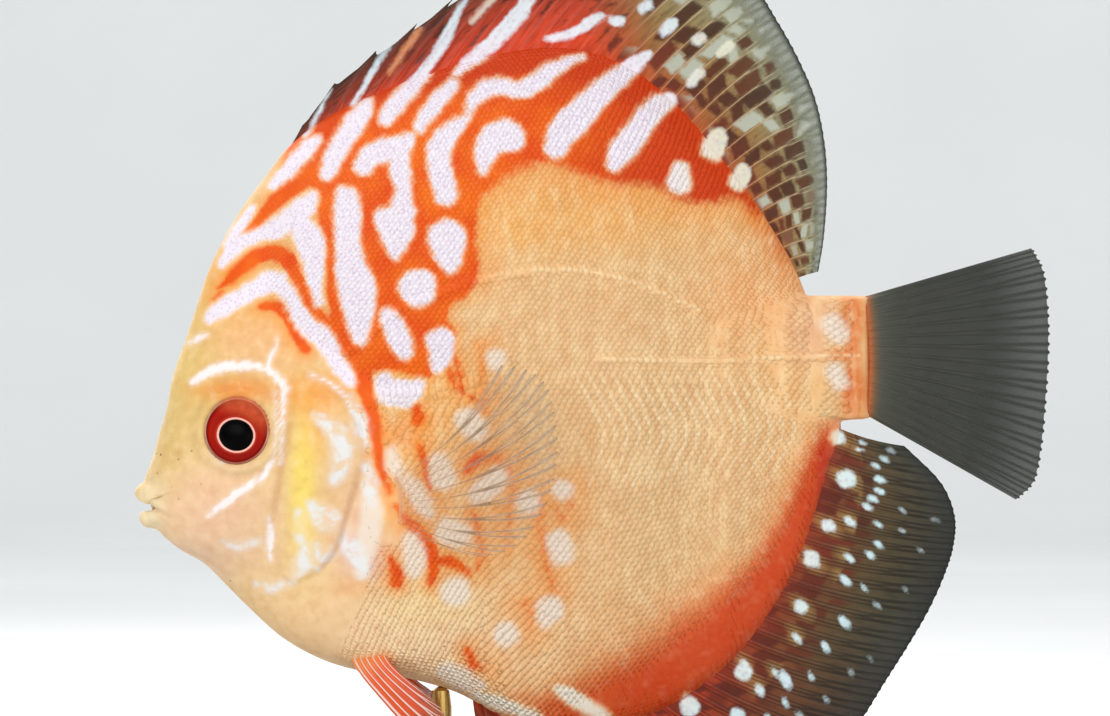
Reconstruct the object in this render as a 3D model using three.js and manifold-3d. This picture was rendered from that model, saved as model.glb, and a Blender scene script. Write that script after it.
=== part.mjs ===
// A discus fish at life size on a plain display stand. Millimetres, +Z up.
// The fish faces -X with its left flank towards -Y, and the origin is the middle of the stand's underside.
// The fish is laid out about the centre of its disc, and raised onto the stand at the end.
import * as THREE from "three";
import { mergeVertices } from "three/addons/utils/BufferGeometryUtils.js";
import Module from "manifold-3d";

const wasm = await Module();
wasm.setup();

// Driving sizes of the fish
const JOIN_GAP = 0.3; // between one piece and the piece that it grows from
const TRUNK_HALF_WIDTH = 13.2; // at the middle of the disc
const EYE = { x: -48.1, z: -10.1, radius: 6.1 };
const PUPIL_RADIUS = 3.0;
const MOUTH = { x: -63.4, z: -23.6, halfLength: 2.9, halfGape: 0.66 };
const UPPER_LIP = { x: -65.3, z: -21.8, radius: 1.3, rise: -1.4 };
const LOWER_LIP = { x: -64.9, z: -25.3, radius: 1.35, rise: 0.1 };
const LIP_SPAN = { depth: 4.8, halfBreadth: 4.3 }; // from the front of a lip back to the mouth's corners
const NOSTRIL = { x: -59.0, z: -14.2, radius: 0.8 };
const DORSAL = { front: 135, back: 18, spines: 9, rays: 31, parting: 100 };
const ANAL = { front: 264, back: 350, spines: 8, rays: 28, parting: 284 };
const CAUDAL_RAYS = 16;
const PECTORAL_RAYS = 11;
const PELVIC_RAYS = 6;
const MEMBRANE_HALF = 0.27; // half the thickness of a fin between its rays

// Driving sizes of the stand
const DISC_HEIGHT = 105; // the disc's centre above the floor
const BASE = { length: 130, depth: 70, height: 8, corner: 9 };
const ROD = { x: -11.6, radius: 2 };
const SOCKET = { radius: 5.5, height: 6 };

// The disc's radius in millimetres at each angle in degrees, which runs from the tail over the back
// to the mouth, and on round the belly. The tail stalk stands out of it on both sides of 0.
const DISC_RADIUS = [
  [-10, 61.4],
  [8, 57.0],
  [20, 55.6],
  [32, 55.0],
  [45, 55.5],
  [57, 57.9],
  [68, 60.1],
  [77, 60.5],
  [86, 59.2],
  [95, 57.4],
  [104, 56.3],
  [115, 55.9],
  [125, 56.4],
  [133, 56.6],
  [141, 56.0],
  [150, 56.1],
  [160, 56.5],
  [168, 56.9],
  [174, 57.9],
  [180, 59.7],
  [186, 61.3],
  [190.5, 63.9],
  [194, 66.2],
  [197, 67.2],
  [200, 67.4],
  [203, 68.2],
  [206, 67.6],
  [208.5, 66.2],
  [212, 63.9],
  [217, 62.8],
  [223, 62.2],
  [230, 61.9],
  [237, 60.9],
  [243, 59.5],
  [248, 58.0],
  [254, 57.2],
  [260, 57.5],
  [264, 58.7],
  [268, 60.9],
  [273, 63.6],
  [279, 65.8],
  [288, 66.9],
  [297, 67.0],
  [307, 66.3],
  [317, 64.7],
  [327, 63.1],
  [336, 61.6],
  [344, 61.0],
  [350, 61.4],
];

// Half the width of the fish along its length, as a share of TRUNK_HALF_WIDTH.
const LENGTHWISE = [
  [-68, 0.72],
  [-60, 0.84],
  [-50, 0.97],
  [-38, 1.03],
  [0, 1],
  [20, 0.93],
  [40, 0.74],
  [56, 0.5],
  [66, 0.4],
];

// Half the width left at the rim: narrow on the forehead, breast and belly, and as wide as the fins' roots.
const RIM_HALF = [
  [0, 1.5],
  [118, 1.5],
  [137, 0.9],
  [152, 0.4],
  [186, 0.6],
  [194, 2.2],
  [201, 2.9],
  [208, 2.0],
  [218, 0.7],
  [250, 0.5],
  [268, 1.3],
  [285, 1.5],
  [360, 1.5],
];

// How the width falls off towards the rim: 0.5 is round, and more is lean, as at the fins' roots.
const LEANNESS = [
  [0, 0.72],
  [112, 0.72],
  [150, 0.54],
  [190, 0.5],
  [250, 0.5],
  [278, 0.74],
  [360, 0.72],
];

// The tail stalk, a short bar of oval section, and the line that parts it from the trunk.
const STALK = { z: 3.2, halfHeight: 11.4, top: [57.4, 14.4], bottom: [61.6, -10.4] };
const STALK_HALF = [
  [40, 5.0],
  [50, 4.4],
  [57, 3.4],
  [65, 2.3],
];
const STALK_END = [
  [65.6, -7.2],
  [65.9, 3.4],
  [64.9, 14.0],
];

// The line behind the gill cover that parts the head from the trunk, from the nape to the throat.
const GILL_LINE = [
  [-36.4, 25.0],
  [-31.4, 12.0],
  [-26.8, 0.6],
  [-24.6, -8.0],
  [-24.3, -15.0],
  [-25.9, -22.0],
  [-28.4, -31.0],
  [-33.0, -41.0],
];
const NAPE_ANGLE = 137.5;
const THROAT_ANGLE = 234;

// The gill cover's edge, counterclockwise from its lower front corner as the left flank is seen.
const GILL_COVER = {
  centre: [-33.6, -17.5],
  edge: [
    [-40.5, -35.1],
    [-38.5, -37.6],
    [-35.8, -36.5],
    [-32.7, -34.2],
    [-30.4, -31.0],
    [-28.9, -25.6],
    [-26.9, -20.8],
    [-25.8, -15.4],
    [-26.1, -9.8],
    [-28.0, -5.0],
    [-31.4, -1.3],
    [-35.0, 0.3],
    [-37.6, -1.4],
    [-38.5, -7.0],
    [-39.2, -14.0],
    [-40.2, -22.5],
    [-40.8, -30.0],
  ],
};
const GILL_BED_DEPTH = 0.9;
const CHEEK_EDGE = { x: -41.2, slope: 0.09, top: 4, bottom: -36, step: 0.5 };

// The tips of the fins' rays by the angle of their roots: [angle, x, z].
const DORSAL_TIPS = [
  [135, -39.2, 41.0],
  [129, -30.4, 52.8],
  [122, -16.8, 62.6],
  [114.5, -4.5, 71.0],
  [108.8, 1.6, 74.2],
  [103.5, 6.7, 76.5],
  [99, 11.3, 78.1],
  [94.5, 16.2, 79.4],
  [85.6, 25.2, 80.2],
  [77, 35.1, 78.2],
  [68, 43.2, 72.5],
  [57, 49.5, 63.2],
  [51, 53.1, 56.6],
  [44.7, 56.0, 49.5],
  [38, 57.6, 41.4],
  [31.8, 58.0, 33.7],
  [24, 57.4, 24.6],
  [18, 56.4, 18.6],
];
const ANAL_TIPS = [
  [264, -4.6, -64.4],
  [265.6, 0.9, -71.3],
  [267.4, 6.3, -75.9],
  [270, 12.6, -79.2],
  [272.8, 18.9, -81.3],
  [275.6, 26.1, -82.3],
  [278.6, 33.3, -82.3],
  [285, 42.7, -80.6],
  [291.3, 50.9, -76.6],
  [298, 58.5, -70.2],
  [304.5, 63.9, -62.6],
  [311, 68.4, -55.4],
  [317.8, 72.8, -48.6],
  [323.4, 76.4, -42.4],
  [328, 79.0, -36.6],
  [335, 80.8, -30.6],
  [341.8, 80.9, -24.8],
  [346, 78.4, -19.4],
  [350, 73.4, -14.6],
];

const radians = THREE.MathUtils.degToRad;
const mix = THREE.MathUtils.lerp;
const smoothstep = THREE.MathUtils.smoothstep;

// Reads a table of [place, value] rows with a smooth step between rows.
function eased(table, place) {
  if (place <= table[0][0]) return table[0][1];
  for (let i = 1; i < table.length; i++) {
    const [a, low] = table[i - 1];
    const [b, high] = table[i];
    if (place <= b) return mix(low, high, smoothstep(place, a, b));
  }
  return table[table.length - 1][1];
}

// Reads a table of [place, values...] rows on a smooth curve through them.
function smoothed(table, place) {
  let i = 0;
  while (i < table.length - 2 && place > table[i + 1][0]) i++;
  const row = (k) => table[THREE.MathUtils.clamp(k, 0, table.length - 1)];
  const [before, from, to, after] = [row(i - 1), row(i), row(i + 1), row(i + 2)];
  const span = to[0] - from[0];
  const t = (place - from[0]) / span;
  return from.slice(1).map((_, k) => {
    const n = k + 1;
    const slopeFrom = ((to[n] - before[n]) / (to[0] - before[0])) * span;
    const slopeTo = ((after[n] - from[n]) / (after[0] - from[0])) * span;
    return (
      from[n] * (1 + 2 * t) * (1 - t) ** 2 +
      slopeFrom * t * (1 - t) ** 2 +
      to[n] * t * t * (3 - 2 * t) +
      slopeTo * t * t * (t - 1)
    );
  });
}

const discRadius = (angle) => smoothed(DISC_RADIUS, angle > 350 ? angle - 360 : angle)[0];

// A point on the disc's rim, or as far outside it as beyond says.
function rimPoint(angle, beyond = 0) {
  const r = discRadius(angle) + beyond;
  return [r * Math.cos(radians(angle)), r * Math.sin(radians(angle))];
}

// How far a point of the side view lies from the gill cover's centre, where 1 is its edge.
const gillEdge = new THREE.CatmullRomCurve3(
  GILL_COVER.edge.map(([x, z]) => new THREE.Vector3(x, 0, z)),
  true,
);
const gillRays = gillEdge.getSpacedPoints(180).map((p) => {
  const [dx, dz] = [p.x - GILL_COVER.centre[0], p.z - GILL_COVER.centre[1]];
  return { angle: Math.atan2(dz, dx), reach: Math.hypot(dx, dz) };
});
function gillShare(x, z) {
  const [dx, dz] = [x - GILL_COVER.centre[0], z - GILL_COVER.centre[1]];
  const angle = Math.atan2(dz, dx);
  let nearest = gillRays[0];
  for (const ray of gillRays) {
    const turn = Math.abs(Math.atan2(Math.sin(ray.angle - angle), Math.cos(ray.angle - angle)));
    const best = Math.abs(Math.atan2(Math.sin(nearest.angle - angle), Math.cos(nearest.angle - angle)));
    if (turn < best) nearest = ray;
  }
  return Math.hypot(dx, dz) / nearest.reach;
}

// Half the width of the fish at a point of its side view, before the head's own forms.
function plainHalfWidth(x, z) {
  const angle = ((Math.atan2(z, x) * 180) / Math.PI + 360) % 360;
  const share = Math.hypot(x, z) / discRadius(angle);
  const rim = eased(RIM_HALF, angle);
  const middle = TRUNK_HALF_WIDTH * eased(LENGTHWISE, x);
  const disc = rim + (middle - rim) * Math.max(0, 1 - share * share) ** eased(LEANNESS, angle);
  const across = (z - STALK.z) / STALK.halfHeight;
  const stalk = x < 30 ? 0 : 0.3 + eased(STALK_HALF, x) * Math.sqrt(Math.max(0, 1 - across * across));
  const fuse = Math.max(0, 1 - Math.abs(disc - stalk) / 1.2); // rounds the corner where the two meet
  return Math.max(disc, stalk) + 0.3 * fuse * fuse;
}

// Half the width with the eye's rim and the cheek's edge.
function halfWidth(x, z) {
  const fromEye = Math.hypot(x - EYE.x, z - EYE.z);
  const eyeRim = 0.5 * Math.exp(-(((fromEye - EYE.radius - 0.9) / 1.2) ** 2));
  const edge = CHEEK_EDGE.x + CHEEK_EDGE.slope * (z - EYE.z);
  const upright = smoothstep(CHEEK_EDGE.top - z, 0, 8) * smoothstep(z - CHEEK_EDGE.bottom, 0, 6);
  const cheek = x < edge ? CHEEK_EDGE.step * upright * Math.exp((x - edge) / 5) : 0;
  return plainHalfWidth(x, z) + eyeRim + cheek;
}

const solidOf = (geometry) => {
  const bare = geometry.clone();
  bare.deleteAttribute("normal");
  bare.deleteAttribute("uv");
  const merged = mergeVertices(bare, 1e-4);
  return new wasm.Manifold(
    new wasm.Mesh({
      numProp: 3,
      vertProperties: new Float32Array(merged.attributes.position.array),
      triVerts: new Uint32Array(merged.index.array),
    }),
  );
};

// The largest closed surface of a solid, as a geometry.
const geometryOf = (solid) => {
  const largest = solid.decompose().reduce((a, b) => (a.volume() > b.volume() ? a : b));
  const { vertProperties, triVerts } = largest.getMesh();
  const geometry = new THREE.BufferGeometry();
  geometry.setAttribute("position", new THREE.BufferAttribute(new Float32Array(vertProperties), 3));
  geometry.setIndex(new THREE.BufferAttribute(new Uint32Array(triVerts), 1));
  return geometry;
};

// A closed solid from two matching grids of points, with the left face towards -Y.
function closedGeometry(points, triangles) {
  const geometry = new THREE.BufferGeometry();
  geometry.setAttribute("position", new THREE.Float32BufferAttribute(points.flat(), 3));
  geometry.setIndex(triangles.flat());
  return geometry;
}

// A solid over a region of the side view. The region is drawn by its rim, counterclockwise, and its
// centre. left and right give the two faces' y at each point.
function slab(centre, rim, left, right, rings) {
  const points = [];
  const count = rim.length;
  const faceSize = 1 + rings * count;
  for (const side of [left, right]) {
    points.push([centre[0], side(centre[0], centre[1]), centre[1]]);
    for (let ring = 1; ring <= rings; ring++) {
      const share = 1 - (1 - ring / rings) ** 1.6;
      for (const [x, z] of rim) {
        const at = [mix(centre[0], x, share), mix(centre[1], z, share)];
        points.push([at[0], side(at[0], at[1]), at[1]]);
      }
    }
  }
  const at = (face, ring, spoke) => face * faceSize + 1 + (ring - 1) * count + (spoke % count);
  const triangles = [];
  const add = (face, a, b, c) => triangles.push(face ? [a, c, b] : [a, b, c]);
  for (let spoke = 0; spoke < count; spoke++) {
    for (const face of [0, 1]) {
      add(face, face * faceSize, at(face, 1, spoke), at(face, 1, spoke + 1));
      for (let ring = 1; ring < rings; ring++) {
        const [a, b] = [at(face, ring, spoke), at(face, ring, spoke + 1)];
        const [c, d] = [at(face, ring + 1, spoke + 1), at(face, ring + 1, spoke)];
        add(face, a, d, c);
        add(face, a, c, b);
      }
    }
    const [a, b] = [at(0, rings, spoke), at(0, rings, spoke + 1)];
    const [c, d] = [at(1, rings, spoke + 1), at(1, rings, spoke)];
    triangles.push([a, d, c], [a, c, b]);
  }
  return closedGeometry(points, triangles);
}

// The rim from one angle to another, with about spacing between points, ends included.
function rimArc(from, to, spacing, beyond = 0) {
  const steps = Math.max(1, Math.round((radians(Math.abs(to - from)) * 60) / spacing));
  return Array.from({ length: steps + 1 }, (_, i) => rimPoint(mix(from, to, i / steps), beyond));
}

// The gill line from nape to throat, moved along X by shift.
function gillLine(steps, shift) {
  const ends = [rimPoint(NAPE_ANGLE), ...GILL_LINE, rimPoint(THROAT_ANGLE)];
  const curve = new THREE.CatmullRomCurve3(ends.map(([x, z]) => new THREE.Vector3(x, 0, z)));
  return curve.getSpacedPoints(steps).map((p) => [p.x + shift, p.z]);
}

// The whole body grown by JOIN_GAP, which clears the roots of what lies on it.
function clearanceBody() {
  const grown = (x, z) => halfWidth(x, z) + JOIN_GAP;
  const end = STALK_END.map(([x, z]) => [x + JOIN_GAP, z]);
  const rim = [...rimArc(DORSAL.back, ANAL.back, 3, JOIN_GAP), ...end];
  return solidOf(slab([0, 0], rim, (x, z) => -grown(x, z), grown, 18));
}

// Head: forehead, cheeks and snout, with the gill covers' beds, the eyes' sockets, the nostrils and the
// mouth's cleft cut in.
function headGeometry() {
  const outline = rimArc(NAPE_ANGLE + 0.15, THROAT_ANGLE - 0.15, 3.6);
  const back = gillLine(22, -JOIN_GAP / 2).reverse();
  const rim = [...back, ...outline.slice(1, -1)];
  let head = solidOf(slab([-46, -9], rim, (x, z) => -halfWidth(x, z), halfWidth, 7));
  for (const side of [-1, 1]) {
    head = head.subtract(solidOf(gillCoverSlab(side, JOIN_GAP)));
    const socket = new THREE.LatheGeometry(eyeProfile(JOIN_GAP, 6), 20);
    head = head.subtract(solidOf(placedOnFace(socket, side, EYE)));
    const nostril = new THREE.CylinderGeometry(NOSTRIL.radius, NOSTRIL.radius * 0.6, 3, 10);
    head = head.subtract(solidOf(placedOnFace(nostril, side, NOSTRIL)));
  }
  const cleft = new THREE.CylinderGeometry(1, 1, 12, 3);
  cleft.rotateY(Math.PI / 2).scale(MOUTH.halfLength, 1, MOUTH.halfGape).translate(MOUTH.x, 0, MOUTH.z);
  return geometryOf(head.subtract(solidOf(cleft)));
}

// Trunk, from the gill line to the tail stalk.
function trunkGeometry() {
  const steps = 5;
  const partingLine = Array.from({ length: steps + 1 }, (_, i) => [
    mix(STALK.bottom[0], STALK.top[0], i / steps),
    mix(STALK.bottom[1], STALK.top[1], i / steps),
  ]);
  const rim = [
    ...partingLine,
    ...rimArc(DORSAL.back, NAPE_ANGLE - 0.15, 4.8),
    ...gillLine(20, JOIN_GAP / 2).slice(1, -1),
    ...rimArc(THROAT_ANGLE + 0.15, ANAL.back, 4.8),
  ];
  return slab([9, 0], rim, (x, z) => -halfWidth(x, z), halfWidth, 8);
}

// Tail stalk, which carries the caudal fin.
function stalkGeometry() {
  const [top, bottom] = [STALK.top, STALK.bottom];
  const corners = [[bottom[0] + JOIN_GAP, bottom[1] + 0.2], ...STALK_END, [top[0] + JOIN_GAP, top[1]]];
  const rim = corners.flatMap((a, i) => {
    const b = corners[(i + 1) % corners.length];
    const steps = Math.max(2, Math.round(Math.hypot(b[0] - a[0], b[1] - a[1]) / 2.6));
    return Array.from({ length: steps }, (_, k) => [mix(a[0], b[0], k / steps), mix(a[1], b[1], k / steps)]);
  });
  return slab([62.6, 3.2], rim, (x, z) => -halfWidth(x, z), halfWidth, 3);
}

// Gill cover: a thin plate that stands a little proud of the head, or the bed it lies in when grown.
function gillCoverSlab(side, grow = 0) {
  const [cx, cz] = GILL_COVER.centre;
  const rim = gillEdge.getSpacedPoints(32).slice(0, -1).map(({ x, z }) => {
    const reach = Math.hypot(x - cx, z - cz);
    return [mix(cx, x, 1 + grow / reach), mix(cz, z, 1 + grow / reach)];
  });
  const inner = (x, z) => side * (halfWidth(x, z) - GILL_BED_DEPTH - grow);
  const arch = (x, z) => 0.35 * Math.max(0, 1 - gillShare(x, z) ** 2);
  const outer = (x, z) => side * (halfWidth(x, z) + (grow ? 3 : 0.45 + arch(x, z)));
  const faces = side < 0 ? [outer, inner] : [inner, outer];
  return slab(GILL_COVER.centre, rim, ...faces, 3);
}

// Turns a shape made along +Y to stand out of the face at a place on one side of the head.
function placedOnFace(geometry, side, { x, z }) {
  const step = 3;
  const lean = new THREE.Vector3(
    (plainHalfWidth(x - step, z) - plainHalfWidth(x + step, z)) / (2 * step),
    1,
    (plainHalfWidth(x, z - step) - plainHalfWidth(x, z + step)) / (2 * step),
  );
  lean.multiply(new THREE.Vector3(0.75, side, 0.75)).normalize();
  const turn = new THREE.Quaternion().setFromUnitVectors(new THREE.Vector3(0, 1, 0), lean);
  return geometry.applyQuaternion(turn).translate(x, side * plainHalfWidth(x, z), z);
}

// Half an eyeball's outline, from the back of the ball to the front of the pupil, grown by grow.
function eyeProfile(grow, opening = 0) {
  const r = EYE.radius + grow;
  const back = Array.from({ length: 5 }, (_, i) => {
    const turn = radians(mix(-90, 0, i / 5));
    return new THREE.Vector2(i ? r * Math.cos(turn) : 0, (4.6 + grow) * Math.sin(turn));
  });
  const front = opening
    ? [new THREE.Vector2(r, 0), new THREE.Vector2(r + 0.6, opening), new THREE.Vector2(0, opening)]
    : [
        new THREE.Vector2(r, 0),
        new THREE.Vector2(r * 0.93, 0.55),
        new THREE.Vector2(r * 0.75, 1.0),
        new THREE.Vector2(PUPIL_RADIUS + 0.3, 1.25),
        new THREE.Vector2(PUPIL_RADIUS, 1.05),
        new THREE.Vector2(PUPIL_RADIUS * 0.6, 1.55),
        new THREE.Vector2(0, 1.75),
      ];
  return [...back, ...front];
}

// A tapered tube along a row of points, with a radius at each, closed at both ends.
function tube(path, radii, sides) {
  const frames = path.map((p, i) => {
    const ahead = path[Math.min(i + 1, path.length - 1)].clone().sub(path[Math.max(i - 1, 0)]).normalize();
    const up = new THREE.Vector3(0, 0, 1);
    const out = new THREE.Vector3().crossVectors(up, ahead).normalize();
    return { p, out, up: new THREE.Vector3().crossVectors(ahead, out) };
  });
  const points = frames.flatMap(({ p, out, up }, i) =>
    Array.from({ length: sides }, (_, k) => {
      const turn = (2 * Math.PI * k) / sides;
      const at = p
        .clone()
        .addScaledVector(out, radii[i] * Math.cos(turn))
        .addScaledVector(up, radii[i] * Math.sin(turn));
      return at.toArray();
    }),
  );
  points.push(path[0].toArray(), path[path.length - 1].toArray());
  const last = path.length - 1;
  const triangles = [];
  for (let k = 0; k < sides; k++) {
    const next = (k + 1) % sides;
    for (let i = 0; i < last; i++) {
      const [a, b, c, d] = [i * sides + k, i * sides + next, (i + 1) * sides + next, (i + 1) * sides + k];
      triangles.push([a, b, c], [a, c, d]);
    }
    triangles.push([points.length - 2, next, k], [points.length - 1, last * sides + k, last * sides + next]);
  }
  return closedGeometry(points, triangles);
}

// A lip, bent round the front of the snout and thinning to the corners of the mouth, where it sinks in.
function lipGeometry({ x, z, radius, rise }, clearance) {
  const steps = 14;
  const turns = Array.from({ length: steps + 1 }, (_, i) => radians(mix(-95, 95, i / steps)));
  const path = turns.map((t) => {
    const back = 1 - Math.cos(t);
    return new THREE.Vector3(x + LIP_SPAN.depth * back, LIP_SPAN.halfBreadth * Math.sin(t), z + rise * back);
  });
  const radii = turns.map((t) => radius * (0.45 + 0.55 * Math.max(0, Math.cos(t))));
  return geometryOf(solidOf(tube(path, radii, 9)).subtract(clearance));
}

// A fin: a thin web between root and tip curves, with each ray raised as a ridge in both faces.
// roots and tips give a point at a share from 0 to 1 along the fin. Rays bow by bow of their length.
function finGeometry({ roots, tips, rays, rows, rootHalf, ridge, notch, bow, sway = () => 0 }) {
  const spread = 0.27 / rays; // from a ray's crest to its foot on each side
  const columns = [{ along: 0, crest: false }];
  for (let ray = 0; ray < rays; ray++) {
    const middle = (ray + 0.5) / rays;
    columns.push({ along: middle - spread, foot: true });
    columns.push({ along: middle, crest: true });
    columns.push({ along: middle + spread, foot: true });
  }
  columns.push({ along: 1 });
  const left = [];
  const right = [];
  for (const { along, crest, foot } of columns) {
    const [root, tip] = [new THREE.Vector3(...roots(along)), new THREE.Vector3(...tips(along))];
    const reach = tip.clone().sub(root);
    const aside = new THREE.Vector3(reach.z, 0, -reach.x);
    const margin = crest ? 1 : 1 - notch * (foot ? 0.6 : 1);
    for (let j = 0; j <= rows; j++) {
      const v = (j / rows) ** 1.15;
      const out = v * margin;
      const p = root
        .clone()
        .addScaledVector(reach, out)
        .addScaledVector(aside, -4 * bow * out * (1 - out));
      const web = mix(rootHalf, MEMBRANE_HALF, Math.min(1, v / 0.35));
      const half = web + (crest ? ridge * (1 - 0.55 * v) : 0);
      const y = p.y + sway(along, out);
      left.push([p.x, y - half, p.z]);
      right.push([p.x, y + half, p.z]);
    }
  }
  const stride = rows + 1;
  const offset = left.length;
  const last = columns.length - 1;
  const at = (i, j) => i * stride + j;
  const triangles = [];
  for (let i = 0; i < last; i++) {
    for (let j = 0; j < rows; j++) {
      const [a, b, c, d] = [at(i, j), at(i + 1, j), at(i + 1, j + 1), at(i, j + 1)];
      triangles.push([a, b, c], [a, c, d]);
      triangles.push([a + offset, c + offset, b + offset], [a + offset, d + offset, c + offset]);
    }
    const [r0, r1, t0, t1] = [at(i, 0), at(i + 1, 0), at(i, rows), at(i + 1, rows)];
    triangles.push([r0, r0 + offset, r1 + offset], [r0, r1 + offset, r1]);
    triangles.push([t0, t1, t1 + offset], [t0, t1 + offset, t0 + offset]);
  }
  for (let j = 0; j < rows; j++) {
    const [f0, f1, l0, l1] = [at(0, j), at(0, j + 1), at(last, j), at(last, j + 1)];
    triangles.push([f0, f1, f1 + offset], [f0, f1 + offset, f0 + offset]);
    triangles.push([l0, l0 + offset, l1 + offset], [l0, l1 + offset, l1]);
  }
  const geometry = closedGeometry([...left, ...right], triangles);
  return solidOf(geometry).volume() < 0 ? turnedOut(geometry) : geometry;
}

// The same surface with its faces turned to point the other way.
function turnedOut(geometry) {
  const index = geometry.index.array;
  for (let i = 0; i < index.length; i += 3) [index[i + 1], index[i + 2]] = [index[i + 2], index[i + 1]];
  return geometry;
}

// Mirrors a geometry in the fish's middle plane.
function mirrored(geometry) {
  return turnedOut(geometry.clone().scale(1, -1, 1));
}

// The points of a smooth curve, read by a share from 0 to 1 with the given points evenly spread.
function smoothRow(points) {
  const curve = new THREE.CatmullRomCurve3(points.map((p) => new THREE.Vector3(...p)), false, "centripetal");
  return (share) => curve.getPoint(THREE.MathUtils.clamp(share, 0, 1)).toArray();
}

const inPlane = (points) => smoothRow(points.map(([x, z]) => [x, 0, z]));

// The small wave that a spread soft fin holds towards its margin.
const medianSway = (along, out) => 0.9 * out * out * Math.sin(along * 14);

// One stretch of a fin on the disc's rim, between two angles of its roots.
function medianFin(tips, from, to, shape) {
  return finGeometry({
    ...shape,
    roots: (share) => {
      const [x, z] = rimPoint(mix(from, to, share), JOIN_GAP);
      return [x, 0, z];
    },
    tips: (share) => {
      const [x, z] = smoothed(tips, mix(from, to, share));
      return [x, 0, z];
    },
  });
}

const SPINY_SHAPE = { rows: 4, rootHalf: 1.1, ridge: 0.45, notch: 0.14, bow: 0.04 };
const SOFT_SHAPE = { rows: 4, rootHalf: 1.1, ridge: 0.3, notch: 0.012, bow: 0.04, sway: medianSway };

// A fin on the rim as its spiny front part and its soft back part.
function spinyAndSoft({ front, back, parting, spines, rays }, tips) {
  const way = Math.sign(back - front);
  const table = [...tips].sort((a, b) => a[0] - b[0]);
  const half = (way * 0.6 * JOIN_GAP) / radians(60);
  const bent = (shape) => ({ ...shape, bow: -way * shape.bow });
  return [
    medianFin(table, front, parting - half, { ...bent(SPINY_SHAPE), rays: spines }),
    medianFin(table, parting + half, back, { ...bent(SOFT_SHAPE), rays }),
  ];
}

// Caudal fin: a fan behind the tail stalk that swings a little to the right at its margin.
function caudalGeometry() {
  return finGeometry({
    roots: inPlane(STALK_END.map(([x, z]) => [x + JOIN_GAP, z]).reverse()),
    tips: inPlane([
      [95.4, 23.0],
      [97.6, 18.6],
      [98.4, 11.2],
      [98.4, 3.6],
      [97.9, -4.5],
      [97.2, -12.6],
      [95.9, -19.2],
      [92.6, -22.7],
    ]),
    rays: CAUDAL_RAYS,
    rows: 5,
    rootHalf: 1.6,
    ridge: 0.32,
    notch: 0.015,
    bow: 0,
    sway: (along, out) => 4 * out * out + 0.5 * out * Math.sin(along * 9),
  });
}

// Left pectoral fin: a fan on the flank behind the gill cover, held out and back.
function pectoralGeometry(clearance) {
  const root = (x, z) => [x, -(plainHalfWidth(x, z) - 1.6), z];
  const tip = (x, z, out) => [x, -(plainHalfWidth(-19, -23) + out), z];
  const fan = finGeometry({
    roots: smoothRow([root(-20.9, -19.2), root(-20.2, -22.4), root(-19.6, -25.6)]),
    tips: smoothRow([
      tip(-1.4, 2.2, 8.6),
      tip(4.0, 1.3, 9.4),
      tip(7.6, -1.4, 10),
      tip(9.0, -6.0, 10.4),
      tip(9.7, -11.6, 10.6),
      tip(9.2, -17.4, 10.4),
      tip(7.6, -22.8, 9.8),
      tip(4.6, -27.8, 8.8),
      tip(0.2, -31.2, 7.6),
      tip(-4.6, -32.2, 6.2),
    ]),
    rays: PECTORAL_RAYS,
    rows: 6,
    rootHalf: 0.9,
    ridge: 0.28,
    notch: 0.04,
    bow: -0.07,
    sway: (along, out) => -2.4 * Math.sin(Math.PI * out ** 0.6),
  });
  return geometryOf(solidOf(fan).subtract(clearance));
}

// Left pelvic fin: a stiff spine and trailing rays, rooted under the breast.
function pelvicGeometry(clearance) {
  const fan = finGeometry({
    roots: smoothRow([
      [-27.4, -1.9, -52.2],
      [-24.4, -2.2, -51.6],
      [-21.4, -2.2, -51.2],
    ]),
    tips: smoothRow([
      [-2.2, -12.2, -76.6],
      [-5.2, -11.6, -71.4],
      [-7.9, -10.8, -66.6],
      [-9.4, -10.0, -62.6],
      [-11.2, -9.2, -59.4],
      [-13.6, -8.4, -57.2],
    ]),
    rays: PELVIC_RAYS,
    rows: 5,
    rootHalf: 1.0,
    ridge: 0.34,
    notch: 0.05,
    bow: -0.03,
    sway: (along, out) => -2.6 * Math.sin(Math.PI * out ** 0.5),
  });
  return geometryOf(solidOf(fan).subtract(clearance));
}

// Stand: a rounded base plate with a small bevel.
function baseGeometry() {
  const bevel = 1;
  const [halfLength, halfDepth] = [BASE.length / 2 - bevel, BASE.depth / 2 - bevel];
  const r = BASE.corner - bevel;
  const outline = new THREE.Shape();
  outline.moveTo(-halfLength + r, -halfDepth);
  outline.lineTo(halfLength - r, -halfDepth);
  outline.absarc(halfLength - r, -halfDepth + r, r, -Math.PI / 2, 0, false);
  outline.absarc(halfLength - r, halfDepth - r, r, 0, Math.PI / 2, false);
  outline.absarc(-halfLength + r, halfDepth - r, r, Math.PI / 2, Math.PI, false);
  outline.absarc(-halfLength + r, -halfDepth + r, r, Math.PI, 1.5 * Math.PI, false);
  return new THREE.ExtrudeGeometry(outline, {
    depth: BASE.height - 2 * bevel,
    bevelThickness: bevel,
    bevelSize: bevel,
    bevelSegments: 1,
    curveSegments: 5,
  }).translate(0, 0, bevel);
}

// Stand: the round socket that holds the rod.
function socketGeometry() {
  const profile = [
    [0, 0],
    [SOCKET.radius, 0],
    [SOCKET.radius, SOCKET.height - 2],
    [ROD.radius + 1.2, SOCKET.height],
    [0, SOCKET.height],
  ].map(([r, h]) => new THREE.Vector2(r, h));
  return new THREE.LatheGeometry(profile, 24).rotateX(Math.PI / 2);
}

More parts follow.
